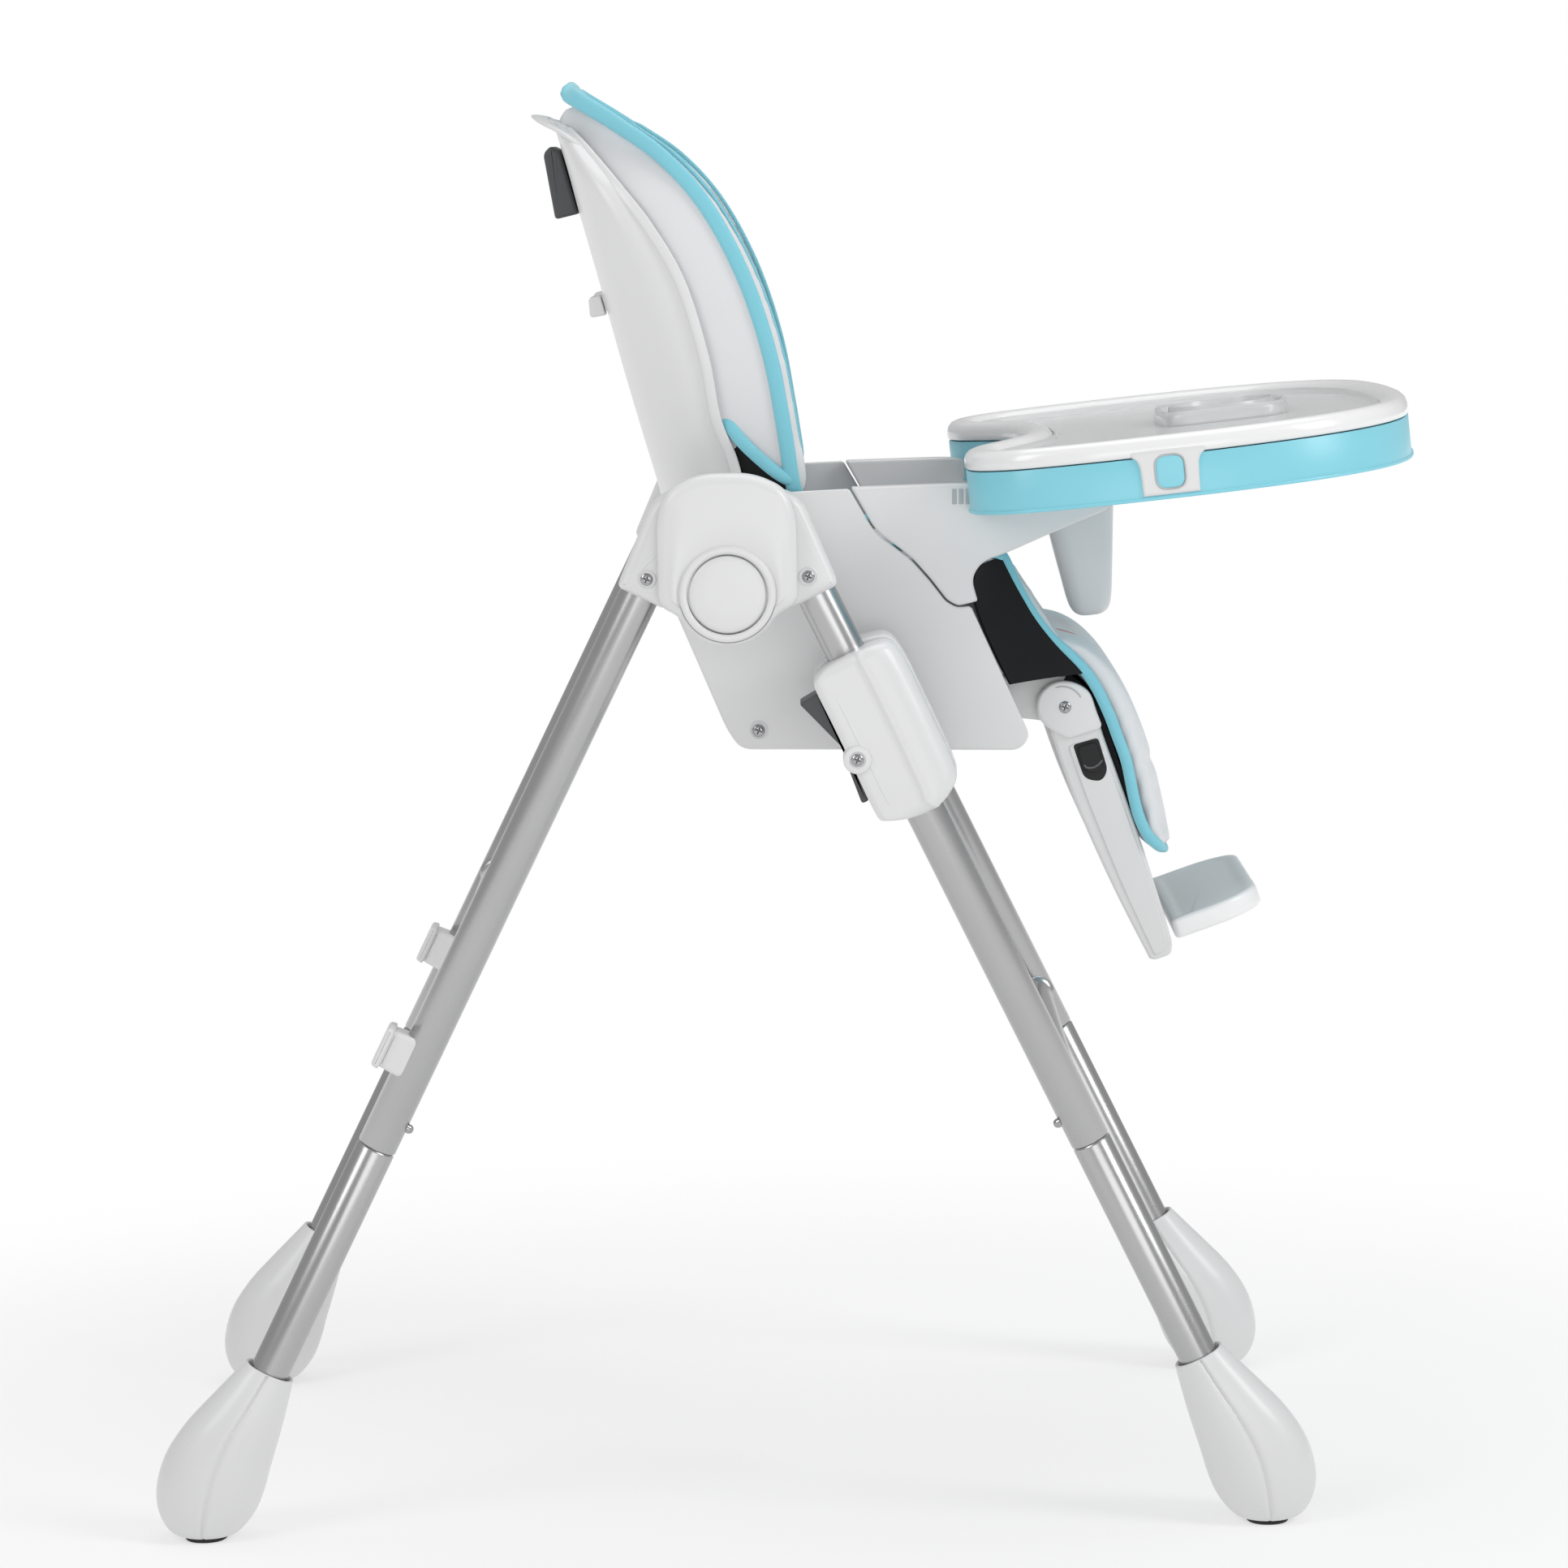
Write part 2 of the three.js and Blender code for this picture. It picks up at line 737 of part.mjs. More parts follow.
// The foot plate, square to the leg rest, with a shallow dish.
function footrest() {
  const block = plate(
    outline([
      [0, -8, 2],
      [68, -8, 6],
      [71, 7, 4],
      [0, 7, 2],
    ]),
    -112,
    112,
  );
  const dish = box([8, 60], [-100, 100], [3, 20]);
  return cut(block, dish).rotateY(-19 * DEG).translate(284.5, 0, 419);
}

// ---- tray, in a frame at the bottom of its back edge, tilted with it ----
// Half of the plan outline, from the middle of the belly cut-out round to the middle of the front.
const TRAY_HALF = [
  [54, 0],
  [51, 50],
  [39, 96],
  [20, 130],
  [6, 156],
  [0, 190],
  [8, 228],
  [34, 256],
  [78, 269],
  [124, TRAY.half],
  [188, 268],
  [250, 250],
  [296, 214],
  [324, 160],
  [337, 84],
  [TRAY.length, 0],
];

// The plan outline moved inwards by a margin, as a shape in the tray's plane.
function trayShape(margin = 0) {
  const half = new THREE.CatmullRomCurve3(TRAY_HALF.map(([x, y]) => v3(x, y, 0))).getPoints(28);
  const ring = [...half, ...half.slice(1, -1).reverse().map((p) => v3(p.x, -p.y, 0))];
  const points = ring.map((p, i) => {
    const along = ring[(i + 1) % ring.length].clone().sub(ring.at(i - 1)).normalize();
    return new THREE.Vector2(p.x + along.y * margin, p.y - along.x * margin);
  });
  return new THREE.Shape(points);
}

const trayBlock = (margin, low, high) =>
  new THREE.ExtrudeGeometry(trayShape(margin), { depth: high - low, bevelEnabled: false }).translate(0, 0, low);

const panelBox = (grow, low, high) => {
  const span = [BUTTON_PANEL.from - grow, BUTTON_PANEL.to + grow];
  return [-1, 1].map((side) => {
    const y = side < 0 ? [-TRAY.half - 5, -TRAY.half + 15 + grow] : [TRAY.half - 15 - grow, TRAY.half + 5];
    return box(span, y, [low, high]);
  });
};

function trayLower() {
  const skirt = trayBlock(0, 0, TRAY.skirt);
  const hollow = trayBlock(3, -1, 23);
  const pocket = trayBlock(3, 26, TRAY.skirt + 1);
  const channel = (a, b) => box([-10, 130], [a, b], [-2, 22.5]);
  const arms = [channel(-SHELL.outer - 1.5, -ARM.inner + 1.5), channel(ARM.inner - 1.5, SHELL.outer + 1.5)];
  return cut(skirt, hollow, pocket, ...arms, ...panelBox(GAP, 2, TRAY.skirt + 2));
}

function trayUpper() {
  const rim = trayBlock(0, TRAY.skirt + GAP, TRAY.height);
  const dish = trayBlock(21, TRAY.skirt + 4, TRAY.height + 1);
  const lid = cut(rim, dish);
  const wall = cut(trayBlock(0.2, 2.5, TRAY.skirt + 1), trayBlock(10, 0, TRAY.skirt + 3));
  const tabs = panelBox(0, 2.5, TRAY.skirt + 1).map((b) => common(wall, b));
  const middle = (BUTTON_PANEL.from + BUTTON_PANEL.to) / 2;
  const holes = [-1, 1].map((side) => box([middle - 10.4, middle + 10.4], [side * 250 - 30, side * 250 + 30], [5.6, 28.4]));
  return cut(join(lid, ...tabs), ...holes);
}

function trayButton() {
  const middle = (BUTTON_PANEL.from + BUTTON_PANEL.to) / 2;
  return plate(
    outline([
      [middle - 10, 6, 5],
      [middle + 10, 6, 5],
      [middle + 10, 28, 5],
      [middle - 10, 28, 5],
    ]),
    -TRAY.half - 1.5,
    -TRAY.half + 11,
  );
}

// The lift-out liner, with a low round wall that holds a cup.
const CUP = { x: 196, radius: 46, wall: 2.5, top: 46.5 };
function trayInsert() {
  const sheet = trayBlock(22.5, TRAY.skirt + 4 + GAP, TRAY.skirt + 6.4);
  const wall = pipe(CUP.radius, CUP.radius - CUP.wall, TRAY.skirt + 5, CUP.top, 28).translate(CUP.x, 0, 0);
  return join(sheet, wall);
}

// The post between the child's legs, which hangs from the tray.
function crotchPost() {
  const side = outline([
    [60, 22.4],
    [63, -35],
    [74, -99, 8],
    [104, -102, 8],
    [116, 22.4],
  ]);
  return plate(side, -27, 27);
}

function addTray() {
  const frame = new THREE.Group();
  frame.position.set(TRAY.x, 0, TRAY.z);
  frame.rotation.y = -TRAY.tilt;
  chair.add(frame);
  put(frame, "tray_lower_shell", trayLower(), BLUE);
  put(frame, "tray_upper_shell", trayUpper(), WHITE);
  put(frame, "tray_insert", trayInsert(), CLEAR);
  put(frame, "crotch_post", crotchPost(), WHITE);
  for (const [side, mirror] of [
    ["right", 1],
    ["left", -1],
  ])
    put(frame, `tray_button_${side}`, trayButton(), BLUE).scale.y = mirror;
}

// ---- assembly: each side is built once, on the child's right, and mirrored for the left ----
for (const [side, mirror] of [
  ["right", 1],
  ["left", -1],
]) {
  const half = new THREE.Group();
  half.scale.y = mirror;
  chair.add(half);
  addLeg(half, "front", side);
  addLeg(half, "rear", side);
  put(half, `hub_cover_${side}`, hubCover(), WHITE);
  put(half, `fold_button_${side}`, foldButton(), WHITE);
  put(half, `seat_side_${side}`, seatSide(), WHITE);
  put(half, `armrest_${side}`, armrest(), WHITE);
  put(half, `legrest_latch_${side}`, legrestLatch(), BLACK);
}
crossbar("front", -444.5);
crossbar("rear", -330);
put(chair, "seat_pan", seatPan(), WHITE);
put(chair, "seat_pad", seatPad(), CLOTH);
put(chair, "back_shell", backShell(), WHITE);
put(chair, "back_pad", backPad(), CLOTH);
put(chair, "recline_handle", reclineHandle(), BLACK);
put(chair, "legrest_frame", legrestFrame(), WHITE);
put(chair, "legrest_pad", legrestPad(), CLOTH);
put(chair, "footrest", footrest(), WHITE);
addTray();

export default chair;
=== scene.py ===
import math

import bpy
import numpy as np
from mathutils import Matrix

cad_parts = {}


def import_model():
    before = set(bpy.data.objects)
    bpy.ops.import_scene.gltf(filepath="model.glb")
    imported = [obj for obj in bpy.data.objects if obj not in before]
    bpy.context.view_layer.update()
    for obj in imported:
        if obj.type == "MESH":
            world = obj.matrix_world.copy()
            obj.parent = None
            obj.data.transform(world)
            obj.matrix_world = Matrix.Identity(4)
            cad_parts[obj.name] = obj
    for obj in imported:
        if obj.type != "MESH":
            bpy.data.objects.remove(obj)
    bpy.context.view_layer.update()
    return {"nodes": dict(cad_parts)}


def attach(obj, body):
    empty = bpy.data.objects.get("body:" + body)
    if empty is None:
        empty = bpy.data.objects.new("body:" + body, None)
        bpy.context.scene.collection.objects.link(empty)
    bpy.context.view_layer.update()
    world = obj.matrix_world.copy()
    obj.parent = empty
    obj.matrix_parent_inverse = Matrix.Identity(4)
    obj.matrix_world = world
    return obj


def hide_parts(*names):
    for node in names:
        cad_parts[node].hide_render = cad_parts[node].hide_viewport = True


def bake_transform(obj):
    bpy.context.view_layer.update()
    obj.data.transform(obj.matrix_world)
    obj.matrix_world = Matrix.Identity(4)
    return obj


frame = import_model()

# Lengths are in millimetres, x forward, y to the child's left and z up, until a mesh is made.
MM = 0.001
SIDES = (("right", 1), ("left", -1))  # the child's right is built, and y changes sign for the left
HUB = np.array([-44.5, 693.0])  # x and z of the axis that the legs fold on
LEAN = {"front": math.radians(25.6), "rear": math.radians(26.55)}  # each leg from upright
LEG_Y = -245
# the offset is square to the leg from the hub; top, seam and end are lengths up the leg from it
TUBE = {"offset": 56, "radius": 14.5, "wall": 1.2, "top": 22, "seam": -478.5, "end": -702}
TRAY = {"at": (133, 742), "tilt": math.radians(5.4), "half": 272}
KNEE = (202, 591)  # x and z of the axis that the leg rest turns on
ANKLE = 123  # height of the middle of the foot's collar


# ---- materials ----
WAVE_SCALE = 0.314  # a wave texture's scale for one thread in a metre
PRINT = {"half_width": 0.136, "middle": 0.7, "half_height": 0.27, "dot": 0.14}  # metres; the dot in cells


def maths(tree, operation, *values):
    """The result of a Math node. Each value is a number, or a socket that is linked."""
    node = tree.nodes.new("ShaderNodeMath")
    node.operation = operation
    for value, socket in zip(values, node.inputs):
        if isinstance(value, bpy.types.NodeSocket):
            tree.links.new(value, socket)
        else:
            socket.default_value = value
    return node.outputs["Value"]


def material(name, color, roughness, cells, depth=0.0, metallic=0.0, drift=0.04, weave=False, **sockets):
    """A finish whose colour and roughness drift a little with soft noise, over a fine grain (or a weave:
    the product of two crossed waves) that stands `depth` metres high. `cells` is how many grains go into
    a metre."""
    made = bpy.data.materials.new(name)
    made.use_nodes = True
    tree = made.node_tree
    shader = tree.nodes["Principled BSDF"]
    shader.inputs["Metallic"].default_value = metallic
    for socket, value in sockets.items():
        shader.inputs[socket.replace("_", " ")].default_value = value
    place = tree.nodes.new("ShaderNodeTexCoord").outputs["Object"]

    soft = tree.nodes.new("ShaderNodeTexNoise")
    soft.inputs["Scale"].default_value = 14
    soft.inputs["Detail"].default_value = 4
    tree.links.new(place, soft.inputs["Vector"])
    tint = tree.nodes.new("ShaderNodeMix")
    tint.data_type = "RGBA"
    tint.inputs["A"].default_value = (*(c * (1 - drift) for c in color), 1)
    tint.inputs["B"].default_value = (*(min(1, c * (1 + drift)) for c in color), 1)
    tree.links.new(soft.outputs["Fac"], tint.inputs["Factor"])
    tree.links.new(tint.outputs["Result"], shader.inputs["Base Color"])
    rough = tree.nodes.new("ShaderNodeMapRange")
    rough.inputs["To Min"].default_value = roughness * 0.85
    rough.inputs["To Max"].default_value = roughness * 1.15
    tree.links.new(soft.outputs["Fac"], rough.inputs["Value"])
    tree.links.new(rough.outputs["Result"], shader.inputs["Roughness"])

    if weave:
        waves = []
        for direction in ("Y", "DIAGONAL"):
            wave = tree.nodes.new("ShaderNodeTexWave")
            wave.bands_direction = direction
            wave.inputs["Scale"].default_value = cells * WAVE_SCALE
            tree.links.new(place, wave.inputs["Vector"])
            waves.append(wave.outputs["Fac"])
        height = maths(tree, "MULTIPLY", *waves)
    else:
        grain = tree.nodes.new("ShaderNodeTexVoronoi")
        grain.feature = "SMOOTH_F1"
        grain.inputs["Scale"].default_value = cells
        tree.links.new(place, grain.inputs["Vector"])
        height = grain.outputs["Distance"]
    bump = tree.nodes.new("ShaderNodeBump")
    bump.inputs["Strength"].default_value = 0.6
    bump.inputs["Distance"].default_value = depth
    tree.links.new(height, bump.inputs["Height"])
    tree.links.new(bump.outputs["Normal"], shader.inputs["Normal"])
    return made


def printed(made, spots):
    """Adds small round printed dots to the middle of a white cover, not to its sides: wherever a coarse
    cell's centre is nearer than a dot's radius, one of the given colours replaces the base."""
    tree = made.node_tree
    shader = tree.nodes["Principled BSDF"]
    base = shader.inputs["Base Color"].links[0].from_socket
    place = next(n for n in tree.nodes if n.type == "TEX_COORD").outputs["Object"]
    axes = tree.nodes.new("ShaderNodeSeparateXYZ")
    tree.links.new(place, axes.inputs[0])
    across = maths(tree, "COMPARE", axes.outputs["Y"], 0, PRINT["half_width"])
    upwards = maths(tree, "COMPARE", axes.outputs["Z"], PRINT["middle"], PRINT["half_height"])
    field = maths(tree, "MULTIPLY", across, upwards)
    for color, cells, turn in spots:
        shift = tree.nodes.new("ShaderNodeMapping")
        shift.inputs["Rotation"].default_value = (turn, 0.4, turn)
        tree.links.new(place, shift.inputs["Vector"])
        dots = tree.nodes.new("ShaderNodeTexVoronoi")
        dots.inputs["Scale"].default_value = cells
        tree.links.new(shift.outputs["Vector"], dots.inputs["Vector"])
        inside = maths(tree, "LESS_THAN", dots.outputs["Distance"], PRINT["dot"])
        here = maths(tree, "MULTIPLY", inside, field)
        over = tree.nodes.new("ShaderNodeMix")
        over.data_type = "RGBA"
        over.inputs["B"].default_value = (*color, 1)
        tree.links.new(here, over.inputs["Factor"])
        tree.links.new(base, over.inputs["A"])
        base = over.outputs["Result"]
    tree.links.new(base, shader.inputs["Base Color"])
    return made


# The pale finish is the white plastic made lighter. It is painted light: it brightens the footrest, whose top
# lies in the shade of the seat and tray.
FINISH = {"tube": material("satin steel tube", (0.46, 0.46, 0.465), 0.27, 900, 2e-5, metallic=1.0),
    "chrome": material("bright screw steel", (0.40, 0.40, 0.41), 0.2, 900, 1e-5, metallic=1.0),
    "white": material("white plastic", (0.655, 0.656, 0.66), 0.36, 700, 1.5e-5, drift=0.012,
    Coat_Weight=0.15), "gloss_white": material("glossy white plastic", (0.76, 0.761, 0.764), 0.2, 500,
    1e-5, drift=0.01, Coat_Weight=0.5), "shade_lifted_white": material("white plastic lightened as painted light", (0.80, 0.802, 0.805), 0.34,
    600, 1.5e-5, drift=0.012, Coat_Weight=0.2), "blue": material("sky blue plastic", (0.215, 0.575, 0.675),
    0.32, 700, 1.5e-5, drift=0.02), "black": material("black plastic", (0.014, 0.014, 0.015), 0.6, 900,
    4e-5, drift=0.1, Specular_IOR_Level=0.3), "grey": material("dark grey plastic", (0.055, 0.057, 0.06),
    0.45, 900, 4e-5, drift=0.08), "mark": material("grey mark", (0.42, 0.43, 0.44), 0.5, 900, 1e-5),
    "cover": material("white cover", (0.66, 0.665, 0.68), 0.48, 1100, 6e-5, drift=0.02, Sheen_Weight=0.15),
    "piping": material("sky blue piping", (0.185, 0.53, 0.63), 0.6, 900, 1.2e-4, weave=True,
    Sheen_Weight=0.3), "lining": material("black lining", (0.011, 0.011, 0.012), 0.9, 700, 2e-4,
    weave=True, Specular_IOR_Level=0.25), "webbing": material("grey webbing", (0.10, 0.105, 0.11), 0.8,
    500, 3e-4, weave=True, Sheen_Weight=0.2), "rubber": material("sole rubber", (0.02, 0.02, 0.021), 0.8,
    600, 1e-4, drift=0.1), "clear": material("milky clear plastic", (0.93, 0.945, 0.95), 0.2, 400, 1e-5,
    drift=0.01, Transmission_Weight=0.55, IOR=1.49)}
FINISH["front"] = printed(
    material("printed cover", (0.66, 0.665, 0.68), 0.48, 1100, 6e-5, drift=0.02, Sheen_Weight=0.15),
    [((0.03, 0.03, 0.035), 19, 0.3), ((0.62, 0.03, 0.03), 13, 1.1)],
)


# ---- shapes ----
def fan_volume(p, faces):
    """Six times the signed volume under the faces: a . (b x c) summed over each face's fan of triangles."""
    a, b, c = p[faces[..., :1]], p[faces[..., 1:-1]], p[faces[..., 2:]]
    return float((np.broadcast_to(a, b.shape) * np.cross(b, c)).sum())


def skin(name, rings, body, finish, *nodes, ends=True, smooth=38, ride=True):
    """A closed piece from a grid of points, rows x columns x 3: each row is a closed ring. With ends, the
    first and last rings are filled; without, the last row joins the first. If its volume comes out
    negative, every face is turned round. It stands for the CAD nodes and, unless
    ride is off, rides on the body."""
    rings = np.asarray(rings, float)
    rows, columns = rings.shape[:2]
    index = np.arange(rows * columns).reshape(rows, columns)
    net = index if ends else np.vstack([index, index[:1]])
    net = np.hstack([net, net[:, :1]])
    quads = np.stack([net[:-1, :-1], net[:-1, 1:], net[1:, 1:], net[1:, :-1]], -1).reshape(-1, 4)
    faces = [quads, index[0][::-1][None], index[-1][None]] if ends else [quads]
    p = rings.reshape(-1, 3)
    if sum(fan_volume(p, f) for f in faces) < 0:
        faces = [f[:, ::-1] for f in faces]
    mesh = bpy.data.meshes.new(name)
    mesh.from_pydata((p * MM).tolist(), [], [loop for f in faces for loop in f.tolist()])
    mesh.polygons.foreach_set("use_smooth", np.ones(len(mesh.polygons), bool))
    mesh.set_sharp_from_angle(angle=math.radians(smooth))
    mesh.update()
    obj = bpy.data.objects.new(name, mesh)
    bpy.context.scene.collection.objects.link(obj)
    mesh.materials.append(FINISH[finish])
    if nodes:
        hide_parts(*nodes)
    if ride:
        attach(obj, body)
    return obj


def smooth_line(points, count, closed=False):
    """A smooth curve through the points: on each span, the cubic whose slope at a point is half the way
    from the point before it to the point after."""
    p = np.asarray(points, float)
    p = np.vstack([p[-1:], p, p[:2]]) if closed else np.vstack([2 * p[0] - p[1], p, 2 * p[-1] - p[-2]])
    spans = len(p) - 3
    t = np.linspace(0, spans, count, endpoint=not closed)
    k = np.minimum(t.astype(int), spans - 1)
    u = (t - k)[:, None]
    a, b, c, d = p[k], p[k + 1], p[k + 2], p[k + 3]
    return b + 0.5 * u * ((c - a) + u * ((2 * a - 5 * b + 4 * c - d) + u * (3 * b - a - 3 * c + d)))


def evenly(points, count):
    """The same closed line with its points the same distance apart."""
    p = np.asarray(points, float)
    p = np.vstack([p, p[:1]])
    along = np.concatenate([[0], np.cumsum(np.linalg.norm(np.diff(p, axis=0), axis=1))])
    at = np.linspace(0, along[-1], count, endpoint=False)
    return np.stack([np.interp(at, along, p[:, i]) for i in range(p.shape[1])], 1)


def corners(points, count=160):
    """A round-cornered closed outline: each corner [x, z, r] is the quadratic curve between the points r
    along its two sides, and the whole is spaced evenly."""
    c = np.array([[p[0], p[1]] for p in points], float)
    r = np.array([p[2] if len(p) > 2 else 0.4 for p in points], float)
    before, after = np.roll(c, 1, 0) - c, np.roll(c, -1, 0) - c
    lengths = [np.linalg.norm(v, axis=1) for v in (before, after)]
    r = np.minimum(r, np.minimum(*lengths) / 2.05)
    a = c + before / lengths[0][:, None] * r[:, None]
    b = c + after / lengths[1][:, None] * r[:, None]
    t = np.linspace(0, 1, 7)[None, :, None]
    curve = (1 - t) ** 2 * a[:, None] + 2 * t * (1 - t) * c[:, None] + t**2 * b[:, None]
    return evenly(curve.reshape(-1, 2), count)


def clear_of(outline, ring, inset):
    """The ring with no loops: points nearer to the outline than the inset are dropped, and their places are
    filled evenly between the points kept."""
    if inset <= 0.2:
        return ring
    ahead = np.roll(outline, -1, 0) - outline
    to = ring[:, None] - outline[None]
    t = np.clip((to * ahead).sum(2) / (ahead**2).sum(1), 0, 1)
    near = np.linalg.norm(to - t[..., None] * ahead, axis=2).min(1)
    kept = np.flatnonzero(near > 0.9 * inset)
    if len(kept) == len(ring) or len(kept) < 3:
        return ring
    at = np.arange(len(ring))
    return np.stack([np.interp(at, kept, ring[kept, i], period=len(ring)) for i in (0, 1)], 1)


def stack(outline, rows, flat=False):
    """Rings that follow an outline: row [inset, height, scale] moves each point inwards along the
    outline's normal by the inset, then towards its middle by the scale. The height is y, or z if flat."""
    o = np.asarray(outline, float)
    along = np.roll(o, -1, 0) - np.roll(o, 1, 0)
    along /= np.linalg.norm(along, axis=1)[:, None]
    ahead = np.roll(o, -1, 0)
    turn = np.sign((o[:, 0] * ahead[:, 1] - ahead[:, 0] * o[:, 1]).sum())
    inward = np.stack([-along[:, 1], along[:, 0]], 1) * turn
    rows = np.array([(*row, 1.0)[:3] for row in rows])
    middle = o.mean(0)
    inner = np.stack([clear_of(o, o + inward * inset, inset) for inset in rows[:, 0]])
    p = middle + rows[:, 2, None, None] * (inner - middle)
    height = np.broadcast_to(rows[:, 1, None], p.shape[:2])
    order = (p[..., 0], p[..., 1], height) if flat else (p[..., 0], height, p[..., 1])
    return np.stack(order, -1)


def rounded_rows(low, high, low_edge, high_edge, crown=0.0):
    """Rows for stack: from the low face to the high one, with a quarter circle at both borders. A crown
    lifts the high face's middle by that much along a parabola."""
    way = np.sign(high - low)
    a = np.linspace(0, math.pi / 2, 6)
    start = [(low_edge + 0.7, low)] + [
        (low_edge * (1 - math.sin(t)), low + way * low_edge * (1 - math.cos(t))) for t in a
    ]
    end = [(high_edge * (1 - math.sin(t)), high - way * high_edge * (1 - math.cos(t))) for t in a[::-1]]
    if crown:
        scales = np.array([0.9, 0.75, 0.55, 0.35, 0.15])
        end += [(high_edge + 0.7, high + way * crown * (1 - s * s), s) for s in scales]
    else:
        end.append((high_edge + 0.7, high))
    return start + end


def plate(outline, low, high, edge=1.5, low_edge=None, crown=0.0):
    """The outline as a board from y = low to y = high, with round borders."""
    return stack(outline, rounded_rows(low, high, edge if low_edge is None else low_edge, edge, crown))


def lathe(profile, count=48):
    """Rings round the y axis through x = z = 0: profile points are [radius, y]."""
    r, y = np.asarray(profile, float).T
    a = np.linspace(0, 2 * math.pi, count, endpoint=False)
    return np.stack([r[:, None] * np.cos(a), np.broadcast_to(y[:, None], (len(r), count)),
        r[:, None] * np.sin(a)], -1)


def upright(profile, count=48):
    """The same round the z axis: profile points are [radius, z]."""
    return lathe(profile, count)[..., [0, 2, 1]]


def carry(path, wide, high, count=16, up=(0, 1, 0), power=2.0, taper=2):
    """A rope of oval sections along a path: half widths `wide` square to the path and to `up`, and `high`
    along `up`. The first and last sections shrink so that the ends are round."""
    path = np.asarray(path, float)
    ahead = np.gradient(path, axis=0)
    ahead /= np.linalg.norm(ahead, axis=1)[:, None]
    up = np.broadcast_to(np.asarray(up, float), path.shape)
    across = np.cross(ahead, up)
    across /= np.linalg.norm(across, axis=1)[:, None]
    up = np.cross(across, ahead)
    a = np.linspace(0, 2 * math.pi, count, endpoint=False)
    oval = [np.sign(f(a)) * np.abs(f(a)) ** (2 / power) for f in (np.cos, np.sin)]
    size = np.ones(len(path))
    if taper:
        ends = np.sin(np.linspace(0.25, math.pi / 2, taper + 1))[:-1]
        size[:taper], size[-taper:] = ends, ends[::-1]
    wide, high = (np.broadcast_to(v, size.shape) * size for v in (wide, high))
    return (
        path[:, None]
        + across[:, None] * (wide[:, None] * oval[0])[..., None]
        + up[:, None] * (high[:, None] * oval[1])[..., None]
    )


def sheet_rings(grid, thick):
    """A sheet of points, rows x columns x 3, given a thickness along its normals: each ring runs out over
    one face and back over the other."""
    du, dv = np.gradient(grid, axis=0), np.gradient(grid, axis=1)
    normal = np.cross(du, dv)
    normal /= np.linalg.norm(normal, axis=2)[..., None]
    return np.hstack([grid + normal * thick / 2, (grid - normal * thick / 2)[:, ::-1]])


def span(a, b, rows, sag=(0, 0, 0)):
    """A sheet between two lines, bowed by `sag` at mid-way: (1 - t) a + t b + 4 t (1 - t) sag."""
    t = np.linspace(0, 1, rows)[:, None, None]
    return (1 - t) * a + t * b + 4 * t * (1 - t) * np.asarray(sag, float)


def turned(p, angle, at):
    """Turned in the x-z plane about the origin, forward end up, then moved there."""
    c, s = math.cos(angle), math.sin(angle)
    x, y, z = np.moveaxis(np.asarray(p, float), -1, 0)
    return np.stack([x * c - z * s + at[0], y, x * s + z * c + at[1]], -1)


def on_leg(p, end):
    """From the leg's own frame (x square to the tube and outwards, z up the tube) to the chair's."""
    way = 1 if end == "front" else -1
    return turned(np.asarray(p) * (way, 1, 1), way * LEAN[end], HUB)


def on_tray(p):
    """From the tray's own frame, x forward along it and z up from its floor, to the chair's."""
    return turned(p, TRAY["tilt"], TRAY["at"])


def mirrored(p, way):
    """As it is for the right side, and with y the other way for the left."""
    return np.asarray(p) * (1, way, 1)


def moved(p, x=0, y=0, z=0):
    return np.asarray(p) + (x, y, z)


# ---- screws ----
def screw(name, x, y, z, body, way, radius=4.7):
    """A domed head with a cross recess: along the two arms, a bell curve in the angle sinks the middle."""
    size = radius / 3.7  # the profile below is drawn 3.7 in radius
    r = np.array([0.15, 0.6, 1.1, 1.5, 1.9, 2.3, 2.8, 3.2, 3.55, 3.7, 3.7])
    dome = np.array([2.1, 2.1, 2.05, 2.0, 1.9, 1.75, 1.5, 1.2, 0.8, 0.3, -2])
    a = np.linspace(0, 2 * math.pi, 64, endpoint=False)
    arms = np.exp(-((np.sin(2 * (a + 0.4)) / np.clip(0.5 / r, 0.1, 1)[:, None]) ** 2))
    depth = np.where(r < 2.2, 1.5 - 0.3 * r, 0)[:, None] * arms
    ring = np.stack([r[:, None] * np.cos(a) * size, depth - dome[:, None], r[:, None] * np.sin(a) * size],
        -1)
    skin(name, mirrored(moved(ring, x, y, z), way), body, "chrome", smooth=50)


def recess(name, x, y, z, body, way):
    """The shallow round dish that a screw sits in: a low ring with a rolled edge."""
    rows = [(7, 0.6), (7, -0.3), (6.5, -0.7), (6, -0.6), (5.3, 0.3), (5, 0.6)]
    skin(name, mirrored(moved(lathe(rows), x, y, z), way), body, "white", ends=False)


